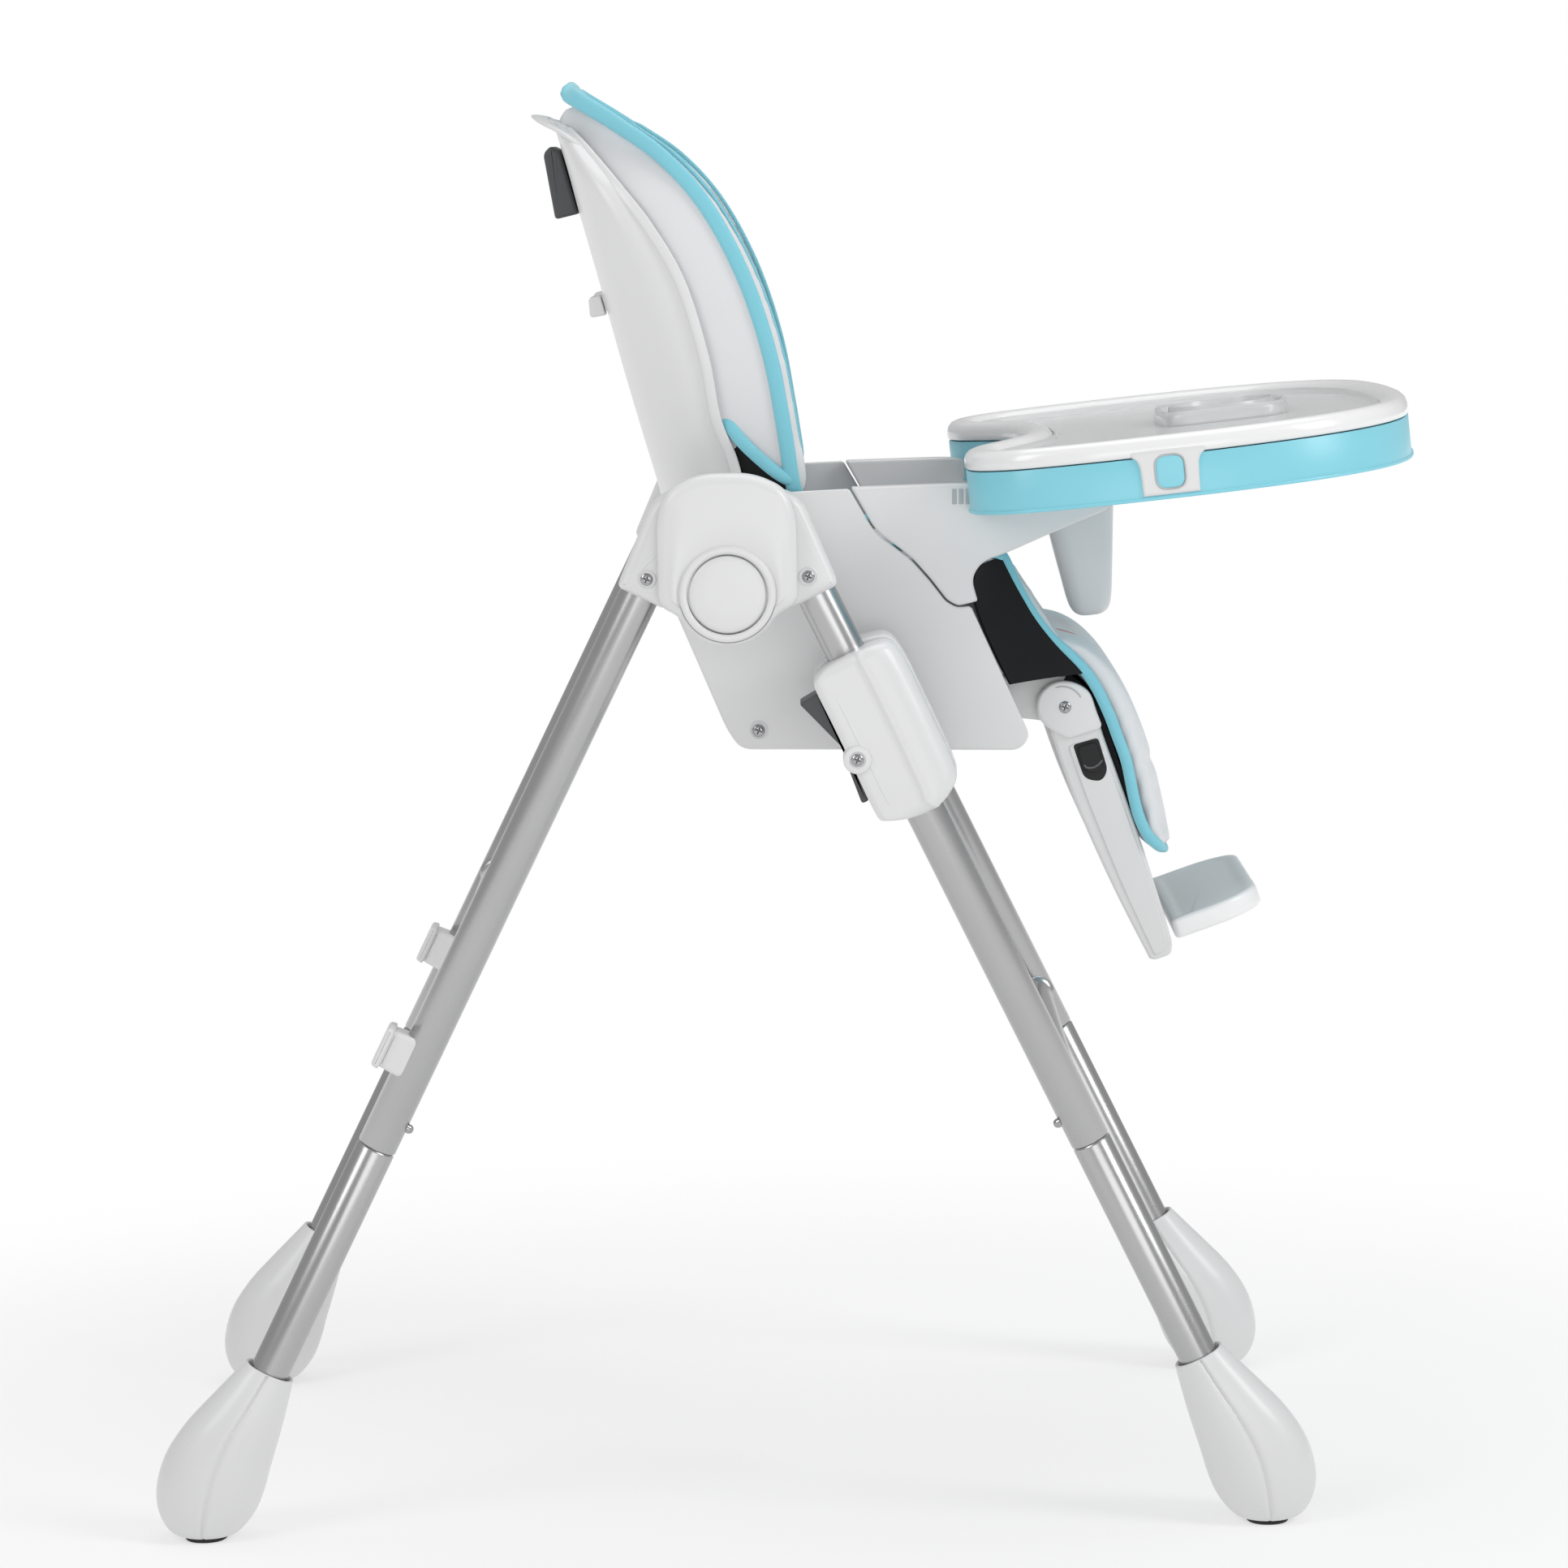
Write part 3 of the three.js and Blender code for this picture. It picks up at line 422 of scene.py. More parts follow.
# ---- legs ----
def leg_tubes(end, side, way):
    """Two open tubes turned round the leg's line, the lower one with a neck that slides up inside the
    upper one, and the spring pin that joins them."""
    r, wall, seam, bottom = TUBE["radius"], TUBE["wall"], TUBE["seam"], TUBE["end"]
    neck = 12.9
    body = f"{end}_frame"
    upper = [(r - wall, seam), (r - 0.4, seam), (r, seam + 0.6), (r, TUBE["top"]), (r - wall, TUBE["top"])]
    lower = [
        (r - wall, bottom), (r, bottom), (r, seam - 2.6), (r - 0.4, seam - 1.6), (neck, seam - 0.6),
        (neck, seam + 62), (neck - wall, seam + 62), (neck - wall, seam - 4), (r - wall, seam - 8),
    ]
    for name, profile in (("upper_tube", upper), ("lower_tube", lower)):
        rings = on_leg(moved(upright(profile), TUBE["offset"], LEG_Y), end)
        skin(f"{name}_{end}_{side}", mirrored(rings, way), body, "tube", f"{end}_{name}_{side}", ends=False)
    pin = lathe([(0.3, 19.2), (1.6, 18.9), (2.8, 17.9), (3.5, 16.2), (3.6, 11), (5.4, 10.8), (5.4, 3),
        (0.3, 3)], 24)
    pin = pin[..., [1, 0, 2]] * (-1, 1, 1)
    pin = on_leg(moved(pin, TUBE["offset"], LEG_Y, -457), end)
    skin(
        f"snap_pin_{end}_{side}", mirrored(pin, way), f"{end}_snap_button_{side}", "chrome",
        f"{end}_snap_button_{side}",
    )


# Foot stations from the sole up: outer x, z, inner x, z, half width in y, from the collar's centre.
FOOT = [
    (66, -120.4, 33, -120.4, 21),
    (77, -115.5, 24, -117, 26.5),
    (84.5, -101, 13, -104, 30),
    (85, -82, 6, -88, 31.5),
    (78, -60, 1, -71, 31),
    (64, -39, -5, -52, 29),
    (47, -21, -9.5, -37, 26),
    (31, -5, -13.5, -22, 22),
    (17.6, 8.4, -17, -8.4, 17.6),
]


def foot_rows(inset=0.0, seam=0.0):
    """Rings through the stations, smoothed along the foot: middle + half-length * cos^(2/power) along the
    line from inner to outer point, half-width * sin^(2/power) across, less a narrow bell-shaped groove
    where the two moulded halves meet."""
    s = smooth_line(FOOT, 44)
    power = 2.25
    middle, long = (s[:, :2] + s[:, 2:4]) / 2, (s[:, :2] - s[:, 2:4]) / 2
    base = np.linspace(0, 2 * math.pi, 44, endpoint=False)
    close = np.array([-0.09, -0.045, -0.018, 0.018, 0.045, 0.09])
    a = np.sort(np.concatenate([base, math.pi / 2 + close, 1.5 * math.pi + close]))
    c, w = (np.sign(f(a)) * np.abs(f(a)) ** (2 / power) for f in (np.cos, np.sin))
    groove = seam * np.exp(-((np.cos(a) / 0.03) ** 2))
    scale = 1 - inset / np.linalg.norm(long, axis=1)
    x = middle[:, :1] + long[:, :1] * scale[:, None] * c
    z = middle[:, 1:] + long[:, 1:] * scale[:, None] * c
    y = (s[:, 4:] - inset) * w - np.sign(w) * groove
    return np.stack([x, y, z], -1)


def foot(end, side, way):
    """A bulb of rings that turns in at the sole and at the flush collar round the tube, with a black
    tread under it and a small dimple in its side."""
    body = f"{end}_frame"
    turn = 1 if end == "front" else -1
    reach = TUBE["offset"] / math.cos(LEAN[end]) + (HUB[1] - ANKLE) * math.tan(LEAN[end])
    at = (HUB[0] + turn * reach, LEG_Y, ANKLE)
    put = lambda p: mirrored(np.asarray(p) * (turn, 1, 1) + at, way)
    shoe = foot_rows(seam=1.5)
    toe = [foot_rows(inset=i)[:1] + (0, 0, dz) for i, dz in ((7, 0), (2.2, 0), (0.7, 0.5))]
    shoe[0, :, 2] += 1.6
    lip = foot_rows()[-1]
    middle = lip.mean(0)
    up = np.array([-math.sin(LEAN[end]), 0, math.cos(LEAN[end])])
    ring = lambda size, rise: (middle + (lip - middle) * size + up * rise)[None]
    collar = [ring(0.99, 1.0), ring(0.95, 1.5), ring(0.9, 1.4)]
    shoe = np.concatenate([*toe, shoe, *collar, ring(0.86, 0.6), ring(0.84, -12)])
    skin(f"foot_{end}_{side}", put(shoe), body, "white", f"{end}_foot_{side}", smooth=48)
    tread = [foot_rows(inset=i)[:1] + (0, 0, dz) for i, dz in ((3, -0.4), (0.6, -0.4), (0.6, -1.6),
        (1.2, -2.7), (3, -3))]
    skin(f"foot_tread_{end}_{side}", put(np.concatenate(tread)), body, "rubber", f"{end}_foot_sole_{side}")
    dimple = lathe([(5.2, 1.2), (5.2, -0.3), (4.7, -0.7), (4.2, -0.4), (3.6, 1.2)], 32) * (1, 1, 0.62)
    skin(f"foot_dimple_{end}_{side}", put(moved(dimple, 43, -28.2, -104)), body, "white", ends=False)


def hub(side, way):
    """The two leg sockets with their screws, the cover over them, and the round button in its ring."""
    for end, screw_x in (("front", 58), ("rear", -58)):
        outline = corners([(34, -31, 6), (73.5, -31, 5), (77, 40, 26), (54, 56, 14), (34, 50, 6)])
        block = on_leg(plate(outline, -224, -267, 7, 3), end)
        skin(f"leg_socket_{end}_{side}", mirrored(block, way), f"{end}_frame", "white",
            f"{end}_leg_socket_{side}")
        screw(f"hub_screw_{end}_{side}", HUB[0] + screw_x, -266.4, HUB[1] + 10.5, f"{end}_frame", way)
        recess(f"hub_screw_dish_{end}_{side}", HUB[0] + screw_x, -266.9, HUB[1] + 10.5, f"{end}_frame", way)
    # the cover: rows from the button's well over a raised ring, across the crowned face and down the side
    shape = corners([(-50, -8, 8), (-50, 54, 12), (-44, 74, 14), (-20, 86, 18), (20, 86, 18), (44, 74, 14),
        (50, 54, 12), (50, -8, 8), (35, -16, 6), (27, -28, 12), (12, -37, 12), (-12, -37, 12),
        (-27, -28, 12), (-35, -16, 6)], 200)
    angle = np.arctan2(shape[:, 1], shape[:, 0])
    ring = lambda r, y: np.stack([r * np.cos(angle), np.full(len(angle), y), r * np.sin(angle)], -1)
    boss = [ring(28.9, -267.5), ring(28.9, -283.2), ring(29.4, -284.4), ring(30.2, -284.9),
        ring(32.8, -284.9), ring(33.8, -284.4), ring(34.4, -283.2), ring(34.9, -282.2)]
    a = np.linspace(0, math.pi / 2, 7)
    border = stack(shape, [(8 * (1 - math.sin(t)), -274 - 8 * math.cos(t)) for t in a])
    start, rim = boss[-1], border[0]
    shares = (0.12, 0.3, 0.5, 0.7, 0.88)
    face = [start + (rim - start) * t + (0, -1.4 * math.sin(math.pi * t), 0) for t in shares]
    body = np.stack([*face, *border, *stack(shape, [(0, -268), (0.6, -267.2)])])
    # where the side meets the raised ring, each row stays at least a hair outside the row before it
    reach = np.linalg.norm(body[..., [0, 2]], axis=2)
    least = np.maximum.accumulate(np.vstack([np.full(len(angle), 34.9), reach]), 0)[1:]
    least[-1] = reach[-1]
    body[..., [0, 2]] *= (least / reach)[..., None]
    cover = np.concatenate([np.stack(boss), body])
    put = lambda p: mirrored(moved(p, HUB[0], 0, HUB[1]), way)
    skin(f"hub_cover_{side}", put(cover), "front_frame", "white", f"hub_cover_{side}", ends=False,
        smooth=45)
    disc = [(0.5, -285.0), (14, -284.9), (24, -284.4), (26.6, -283.9), (27.5, -283.1), (27.8, -282),
        (27.8, -272.8), (0.5, -272.8)]
    skin(f"fold_button_{side}", put(lathe(disc, 96)), f"fold_button_{side}", "white", f"fold_button_{side}")


# The slider's inner shell: x square to the tube, z up it, corner radius.
SLIDER = [(25, -86, 5), (40, -78.4, 14), (70, -78.6, 12), (89, -84, 9), (92, -104, 12), (91, -164, 20),
    (89.5, -190.5, 6), (82, -198, 8), (61.5, -205.5, 12), (43, -202.6, 10), (24, -196, 5), (23.8, -180, 8),
    (24.8, -138, 20)]


def slider_face():
    """Sections square to the tube, from the bottom up. From the back edge each runs out round the left
    corner, over a flat face to the ridge near 65, and falls away to the right edge as a quarter of an
    ellipse. Near both ends the face draws back by a quarter circle."""
    z = np.array([-205.3, -204.5, -202.8, -200.5, -198, -195.5, -190, -180, -164, -140, -120, -104, -96,
        -90, -86, -83, -81, -79.6, -78.7])
    left = np.array([52, 47, 40.5, 34.5, 29, 25, 24, 23.8, 24.2, 24.8, 25, 25, 25, 25.2, 26.2, 29, 32.5,
        36.5, 42])
    right = np.array([66, 70, 75.5, 79.5, 83, 86, 89.3, 90.3, 91, 91.6, 91.8, 92, 91.8, 91, 89.5, 87, 84,
        79, 71])
    s = smooth_line(np.stack([z, left, right], 1), 90)
    z, left, right = s[:, :1], s[:, 1:2], s[:, 2:3]
    near = np.minimum(z + 205.8, -78.2 - z)
    back = 9 * (1 - np.sqrt(np.clip(1 - (1 - np.clip(near / 9, 0, 1)) ** 2, 0, 1)))
    q = np.linspace(0, math.pi / 2, 7)
    fold = np.minimum(65.0, (left + right) / 2 + 6)
    x = np.hstack([
        left + 0 * q[:3],
        left + 5 * (1 - np.cos(q)),
        left + 5 + (fold - 3 - left - 5) * np.linspace(0.1, 1, 8),
        fold + np.array([-2.4, -1.2, 0, 1.2, 2.4]),
        fold + 3 + (right - fold - 3) * np.sin(np.linspace(0.12, math.pi / 2, 12)),
        right + 0 * q[:2],
    ])
    flat = 0 * z
    y = np.hstack([
        flat - 245.4 - np.array([0, 10, 22]),
        flat - 274.5 - 5 * np.sin(q),
        flat - 279.5 + 0 * np.linspace(0, 1, 8),
        flat - 279.5 - np.array([0.25, 1.0, 1.3, 1.0, 0.25]),
        flat - 263 - 16.5 * np.cos(np.linspace(0.12, math.pi / 2, 12)),
        flat - np.array([255, 245.4]),
    ])
    y = np.where(y < -258, np.minimum(y + back, -258 + 0.01 * y), y)
    y[:, 0] = y[:, -1] = -245.4
    return np.stack([x, y, np.broadcast_to(z, x.shape)], -1)


def slider(side, way):
    """The height slider on the front leg: its outer and inner shells, a crease, a screw and the lever."""
    put = lambda p: mirrored(on_leg(p, "front"), way)
    skin(f"slider_outer_{side}", put(slider_face()), "seat", "white", f"slider_outer_shell_{side}",
        smooth=50)
    grown = corners([(x + 1.5, z + 3.5 * (z > -120), r) for x, z, r in SLIDER], 220)
    skin(f"slider_inner_{side}", put(plate(grown, -196, -244.6, 1.2, 5)), "seat", "white",
        f"slider_inner_shell_{side}")
    crease = smooth_line([(36, -278.6, -90), (36.6, -279.3, -110), (36.4, -279.4, -150),
        (35.8, -279.3, -185), (35.4, -278.2, -194)], 24)
    skin(f"slider_crease_{side}", put(carry(crease, 1.1, 0.5)), "seat", "white")
    pad = [(10.2, -262), (10.2, -280), (9.7, -281), (8.8, -281.3), (6.2, -281.3), (5.4, -280.4),
        (0.6, -280.2)]
    skin(f"lever_boss_{side}", put(moved(lathe(pad), 29.8, 0, -148.4)), "seat", "white")
    head = on_leg(np.array([[29.8, 0, -148.4]]), "front")[0]
    screw(f"lever_screw_{side}", head[0], -280.4, head[2], "seat", way, 4.6)
    lever = corners([(9.7, -95.5, 2), (25.7, -94.4, 2), (33, -136), (37, -142, 3), (37, -155, 3),
        (28, -159), (23.2, -180.8, 2), (17.8, -180.4, 2), (20.1, -157.1, 2), (21.5, -148.4, 3),
        (24, -140, 2)], 180)
    body = f"height_lever_{side}"
    skin(body, put(plate(lever, -228.4, -261.6, 1.6)), body, "grey", body)


def tray_hook(side, way):
    """The hook on the rear leg that the tray hangs from: a block and a wider flange."""
    put = lambda p: mirrored(on_leg(p, "rear"), way)
    block = corners([(60, -424, 7), (82, -422, 3), (82, -394, 3), (60, -392, 7)])
    skin(f"tray_hook_{side}", put(plate(block, -232, -258, 2.5)), "rear_frame", "white",
        f"tray_hook_{side}")
    flange = corners([(80, -424, 2), (86, -423, 2.5), (86, -393, 2.5), (80, -392, 2)])
    skin(f"tray_hook_flange_{side}", put(plate(flange, -228.5, -261.5, 2.4)), "rear_frame", "white")


def crossbar(end, along):
    """A bar turned round the y axis from leg to leg, `along` the legs from the hub, welded at both ends."""
    at = on_leg(np.array([[TUBE["offset"], 0, along]]), end)[0]
    half = -LEG_Y - TUBE["radius"] + 1
    rows = [(9.6, half), (11, half), (11, -half), (9.6, -half)]
    weld = [(10.6, half - 3), (13.2, half - 1.6), (14, half), (10.6, half)]
    skin(f"crossbar_{end}", moved(lathe(rows), at[0], 0, at[2]), f"{end}_frame", "tube", f"{end}_crossbar",
        ends=False)
    for side, way in SIDES:
        collar = mirrored(moved(lathe(weld) * (1, -1, 1), at[0], 0, at[2]), way)
        skin(f"crossbar_collar_{end}_{side}", collar, f"{end}_frame", "tube", ends=False)


# ---- seat ----
# Where the arm meets the seat's side: x, z.
SEAM = [(46.5, 760), (62, 732), (68, 725), (80, 716), (91, 707), (104, 692), (116, 676), (124, 671.5),
    (133, 672)]


def seat_shells(side, way):
    """The seat's side, the arm that meets it along the seam, three raised marks and the knee bracket."""
    outline = corners(
        [(-88, 680, 8), (-48, 583, 8), (-38, 568, 8), (168, 564, 10), (176, 574, 6), (133.4, 671.4, 1)]
        + [(x - 0.9, z - 1, 3) for x, z in SEAM[-2:0:-1]]
        + [(45, 759.3, 1), (-20, 757, 20), (-74, 735, 20)], 260)
    put = lambda p: mirrored(p, way)
    skin(f"seat_side_{side}", put(plate(outline, -164.5, -168.4, 1.5)), "seat", "white",
        f"seat_side_{side}")
    screw(f"seat_screw_{side}", -24.5, -168.2, 582, "seat", way)
    recess(f"seat_screw_dish_{side}", -24.5, -168.6, 582, "seat", way)
    arm = corners([(46.5, 760, 1)] + [(x, z, 3) for x, z in SEAM[1:-1]] + [(138.5, 675, 1.5), (134, 692, 8),
        (142, 704, 8), (160, 710, 10), (205, 729, 20), (235, 741, 4), (235, 747, 3), (134, 761.5, 20)],
        260)
    skin(f"arm_{side}", put(plate(arm, -150, -168.4, 1.8)), "seat", "white", f"armrest_{side}")
    for k in range(3):
        bar = corners([(120.4 + 5 * k, 746.5, 0.5), (123.8 + 5 * k, 746.7, 0.5), (123.8 + 5 * k, 758, 0.5),
            (120.4 + 5 * k, 758, 0.5)], 40)
        skin(f"arm_mark_{k}_{side}", put(plate(bar, -167.6, -168.75, 0.25)), "seat", "mark")
    bracket = corners([(152, 614, 3), (200, 614.4, 8), (213, 610, 8), (223.8, 598, 8), (214, 580, 12),
        (182.3, 587.4, 6), (160, 588, 3)])
    skin(f"knee_bracket_{side}", put(plate(bracket, -105.6, -117.2, 1.6)), "seat", "white")


# ---- back ----
# The back's sections from the foot up: rear x, z, rim x, z, half width.
BACK = [
    (-84, 694, -28, 720, 154),
    (-97, 753, -36, 776, 158),
    (-110, 800, -49, 812, 166),
    (-125, 855, -57, 858, 170),
    (-141, 917, -73, 912, 170),
    (-153, 962, -95, 952, 164),
    (-161, 994, -118, 982, 150),
    (-168, 1018, -142, 1010, 118),
    (-172, 1030, -158, 1026, 84),
    (-175.5, 1033.5, -169, 1031.5, 52),
]
# The pad's front edge, one x, z for each section but the lowest and the highest.
PAD_EDGE = [(9, 763), (3, 806), (-7, 862), (-25, 918), (-51, 968), (-82, 1004), (-118, 1030), (-150, 1050)]
PAD_FOOT = ((-84, 694, -28, 720, 146), (-12, 742))  # the lowest section, hidden between the arms
SQUARE = 3.3  # how square the back's section is: 2 is an ellipse


def back_shell():
    """At each height the section runs from rim to rim round the rear: across = w cos^(2/n), depth =
    sin^(2/n) of the way from the rim line to the rear line. The inside is the same, a wall further in."""
    s = smooth_line(BACK, 70)
    a = np.linspace(0, math.pi, 61)
    c = np.sign(np.cos(a)) * np.abs(np.cos(a)) ** (2 / SQUARE)
    d = np.abs(np.sin(a)) ** (2 / SQUARE)
    depth = np.linalg.norm(s[:, :2] - s[:, 2:4], axis=1)

    def run(wall, flare):
        deep = (1 - wall / depth)[:, None] * d
        half = (s[:, 4:] - wall) + flare * np.exp(-((d * depth[:, None] / 5) ** 2))
        x, z = (s[:, i + 2, None] + (s[:, i, None] - s[:, i + 2, None]) * deep for i in (0, 1))
        return np.stack([x, half * c, z], -1)

    rings = np.hstack([run(0, 2.0), run(3, 0.5)[:, ::-1]])
    skin("back_shell", rings, "back", "white", "back_shell", smooth=50)
    for side, way in SIDES:
        cheek = corners([(-65, 676, 12), (-41, 676, 12), (-34, 745, 4), (-84, 745, 4)])
        skin(f"back_cheek_{side}", mirrored(plate(cheek, -152, -156, 1), way), "back", "white")


def recline_handle():
    """The grip behind the head, and the two lugs that the straps pass below it."""
    grip = corners([(-171.5, 957.5, 3), (-154, 961.5, 1.5), (-166.5, 1009, 1.5), (-174, 1012.5, 2),
        (-179.6, 1007, 4)])
    skin("recline_handle", plate(grip, 42, -42, 3), "recline_handle", "grey", "recline_handle")
    for side, way in SIDES:
        lug = corners([(-146, 884, 3), (-134, 886, 1), (-138, 901, 1), (-147, 899, 3)], 60)
        skin(f"strap_lug_{side}", mirrored(plate(lug, -38, -66, 1.2), way), "back", "white")


def pad_section(s, edge):
    """The pad's section at one height, as control points: along the shell's inside from rim to rim, then
    round each wing's front edge and back across the front face."""
    bx, bz, rx, rz, w = s
    px, pz = edge
    clear, thick, wall = 4.6, 24, 24
    depth = math.hypot(rx - bx, rz - bz)
    rear, front = clear / depth, (clear + thick) / depth
    side, inner = w - clear, w - wall
    at = lambda t, y: (bx + (rx - bx) * t, y, bz + (rz - bz) * t)
    bow = lambda t: min(0.95, front + t)
    right = [(px - 1, w - 3, pz), (rx + 3, w - 3, rz + 1), at(0.75, side * 0.955), at(0.45, side * 0.88),
        at(max(0.25, rear * 2), side * 0.74), at(rear, side * 0.5), at(rear, side * 0.2)]
    back = [at(front, inner * 0.25), at(front, inner * 0.6), at(bow(0.25), inner * 0.86),
        at(bow(0.6), inner * 0.98), (px - 2, inner + 1, pz), (px + 6, inner + wall * 0.5, pz)]
    flip = lambda p: (p[0], -p[1], p[2])
    return right + [flip(p) for p in right[::-1]] + [flip(p) for p in back[::-1]] + back


STEPS = 20
GIVE = 1 * MM  # how far the shells let a cover move towards them


def puffed(obj, cell, cap, pressure=4.0):
    """Blows the closed cover up as cloth with air in it: even cells, twenty steps with no gravity. No point
    moves more than the cap, nor more than the give to the rear or sideways out of the chair."""
    bpy.context.view_layer.objects.active = obj
    even = obj.modifiers.new("even cells", "REMESH")
    even.mode = "VOXEL"
    even.voxel_size = cell * MM
    bpy.ops.object.modifier_apply(modifier=even.name)
    count = len(obj.data.vertices)
    before = np.empty(count * 3, np.float32)
    obj.data.vertices.foreach_get("co", before)
    air = obj.modifiers.new("air", "CLOTH")
    air.settings.quality = 4
    air.settings.mass = 0.3
    air.settings.tension_stiffness = 12
    air.settings.compression_stiffness = 12
    air.settings.use_pressure = True
    air.settings.uniform_pressure_force = pressure
    air.settings.effector_weights.gravity = 0
    air.collision_settings.use_collision = False
    air.point_cache.frame_end = STEPS
    for step in range(1, STEPS + 1):
        bpy.context.scene.frame_set(step)
    bpy.ops.object.modifier_apply(modifier=air.name)
    bpy.context.scene.frame_set(1)
    after = np.empty(count * 3, np.float32)
    obj.data.vertices.foreach_get("co", after)
    step = (after - before).reshape(-1, 3)
    far = np.linalg.norm(step, axis=1)[:, None]
    step *= np.minimum(1, cap * MM / np.maximum(far, 1e-9))
    side = np.sign(before.reshape(-1, 3)[:, 1])
    step[:, 0] = np.maximum(step[:, 0], -GIVE)
    step[:, 1] = side * np.minimum(side * step[:, 1], GIVE)
    obj.data.vertices.foreach_set("co", (before.reshape(-1, 3) + step).ravel())
    obj.data.polygons.foreach_set("use_smooth", np.ones(len(obj.data.polygons), bool))
    obj.data.update()


def sewn(obj, lines, depth=3.0, wide=4.5):
    """Sinks the cover along sewn lines: each point moves in along its normal by depth * exp(-(d / wide)^2),
    where d is its distance from a line, which the function in `lines` gives in millimetres."""
    mesh = obj.data
    p = np.empty(len(mesh.vertices) * 3)
    mesh.vertices.foreach_get("co", p)
    n = np.empty(len(mesh.vertices) * 3)
    mesh.vertex_normals.foreach_get("vector", n)
    p, n = p.reshape(-1, 3), n.reshape(-1, 3)
    d = np.min([line(p / MM, n) for line in lines], axis=0)
    p -= n * (depth * MM * np.exp(-((d / wide) ** 2)))[:, None]
    mesh.vertices.foreach_set("co", p.ravel())
    mesh.update()


def away(n, axis, least):
    """Forty millimetres, far from any sewn line, wherever the normal along the axis is below `least`."""
    return 40 * (n[:, axis] < least)


def subdivided(obj):
    """One step finer, each cell in four."""
    finer = obj.modifiers.new("fine", "SUBSURF")
    finer.levels = finer.render_levels = 1


def edge_line():
    """The pad's front edge from the right foot over the top to the left foot, a millimetre inside the back's
    half width."""
    widths = [b[4] for b in BACK[1:9]]
    right = [(x - 5, -(w - 1), z - 1) for (x, z), w in zip(PAD_EDGE, widths)]
    right = [(9, -153, 750), *right, (-156, -43.7, 1051.5), (-157, 0, 1052.5)]
    left = [(x, -y, z) for x, y, z in right[-2::-1]]
    return smooth_line(right + left, 200)


def back_pad():
    """The pad between the back's wings: sections up the back, smoothed both ways, then puffed and sewn. A
    band of piping follows its front edge, thickest at the top."""
    sections = [pad_section(*PAD_FOOT)] + [pad_section(BACK[i + 1], e) for i, e in enumerate(PAD_EDGE)]
    rows = smooth_line(np.array(sections).reshape(len(sections), -1), 52).reshape(52, -1, 3)
    rings = np.stack([smooth_line(r, 110, closed=True) for r in rows])
    # the last rings rise to the band and close over the top
    last, crest = rings[-1], np.array([-155, 0, 1047])
    closing = ((0.99, 0.5), (0.95, 0.15), (0.86, 0), (0.7, -0.06), (0.45, -0.1))
    cap = [crest + (last - crest) * (s, s, lift) for s, lift in closing]
    rings = np.concatenate([rings, np.stack(cap)])
    pad = skin("back_pad", rings, "back", "front", "back_pad", smooth=80, ride=False)
    puffed(pad, 6, 7)
    half = 92  # the sewn lines up the pad stand this far out, and the two across it end there
    beyond = lambda p: np.maximum(0, np.abs(p[:, 1]) - half)
    bowed = lambda p, height: np.abs(p[:, 2] - height - 0.0016 * p[:, 1] ** 2) + beyond(p)
    lines = [
        lambda p, n: np.abs(np.abs(p[:, 1]) - half) + away(n, 0, 0.25),
        lambda p, n: bowed(p, 872) + away(n, 0, 0.25),
        lambda p, n: bowed(p, 955) + away(n, 0, 0.25),
    ]
    sewn(pad, lines)
    subdivided(pad)
    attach(pad, "back")
    path = edge_line()
    share = np.linspace(-1, 1, len(path))
    thick = 1 + 0.5 * np.exp(-((share / 0.2) ** 2))
    skin("back_band", carry(path, 5.6 * thick, 3.0 * thick, 20, up=square_to(path, (1.0, 0, 0.4), 0, 84),
        power=2.6), "back", "piping")
    back_trim()


def back_trim():
    """The hem over the gusset, the bead inside the wing, the shell's rolled rim and its brim."""
    for side, way in SIDES:
        hem = smooth_line([(-62, -148, 832), (-51, -157, 818), (-43, -163, 808), (-33, -164.5, 795),
            (-20, -163, 782), (-7, -161, 771), (5, -158, 764)], 40)
        skin(f"back_hem_{side}", mirrored(carry(hem, 4.8, 2.6), way), "back", "piping")
        skirt(side, way)
        widths = [b[4] for b in BACK[1:8]]
        bead = [(x + 4, -(w - 19), z) for (x, z), w in zip(PAD_EDGE, widths)]
        skin(f"back_piping_{side}", mirrored(carry(smooth_line(bead, 80), 1.6, 1.6, 10), way), "back",
            "piping")
        rim = smooth_line([(b[2] - 2.5, -(b[4] + 1.6), b[3] - 0.5) for b in BACK[:9]], 90)
        skin(f"back_rim_{side}", mirrored(carry(rim, 3.8, 1.5, 16, power=3), way), "back", "white")
    brim = [(-143, -119, 1008), (-160, -104, 1021), (-175, -76, 1029.5), (-181, -40, 1033.5),
        (-182.5, 0, 1034.5)]
    brim = smooth_line(brim + [(x, -y, z) for x, y, z in brim[-2::-1]], 90)
    wide = np.interp(np.abs(brim[:, 1]), [0, 85, 119], [7, 6, 1.5])
    rings = carry(brim, wide, 1.6, 20, up=(0.15, 0, 1), power=2.6)
    skin("back_brim", rings, "back", "white")


def cover_fold():
    """The cover's fold between the back and the seat, behind the child: a thick sheet from the foot of one
    pad to the rear of the other."""
    across = np.linspace(-124, 124, 30)
    line = lambda x, z: np.stack([x + 0 * across, across, z + 0 * across], 1)
    grid = span(line(-60, 716), line(-27, 626), 16, (-6, 0, -3))
    made = skin("cover_fold", sheet_rings(grid, 9), "back", "cover", smooth=60, ride=False)
    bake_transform(made)


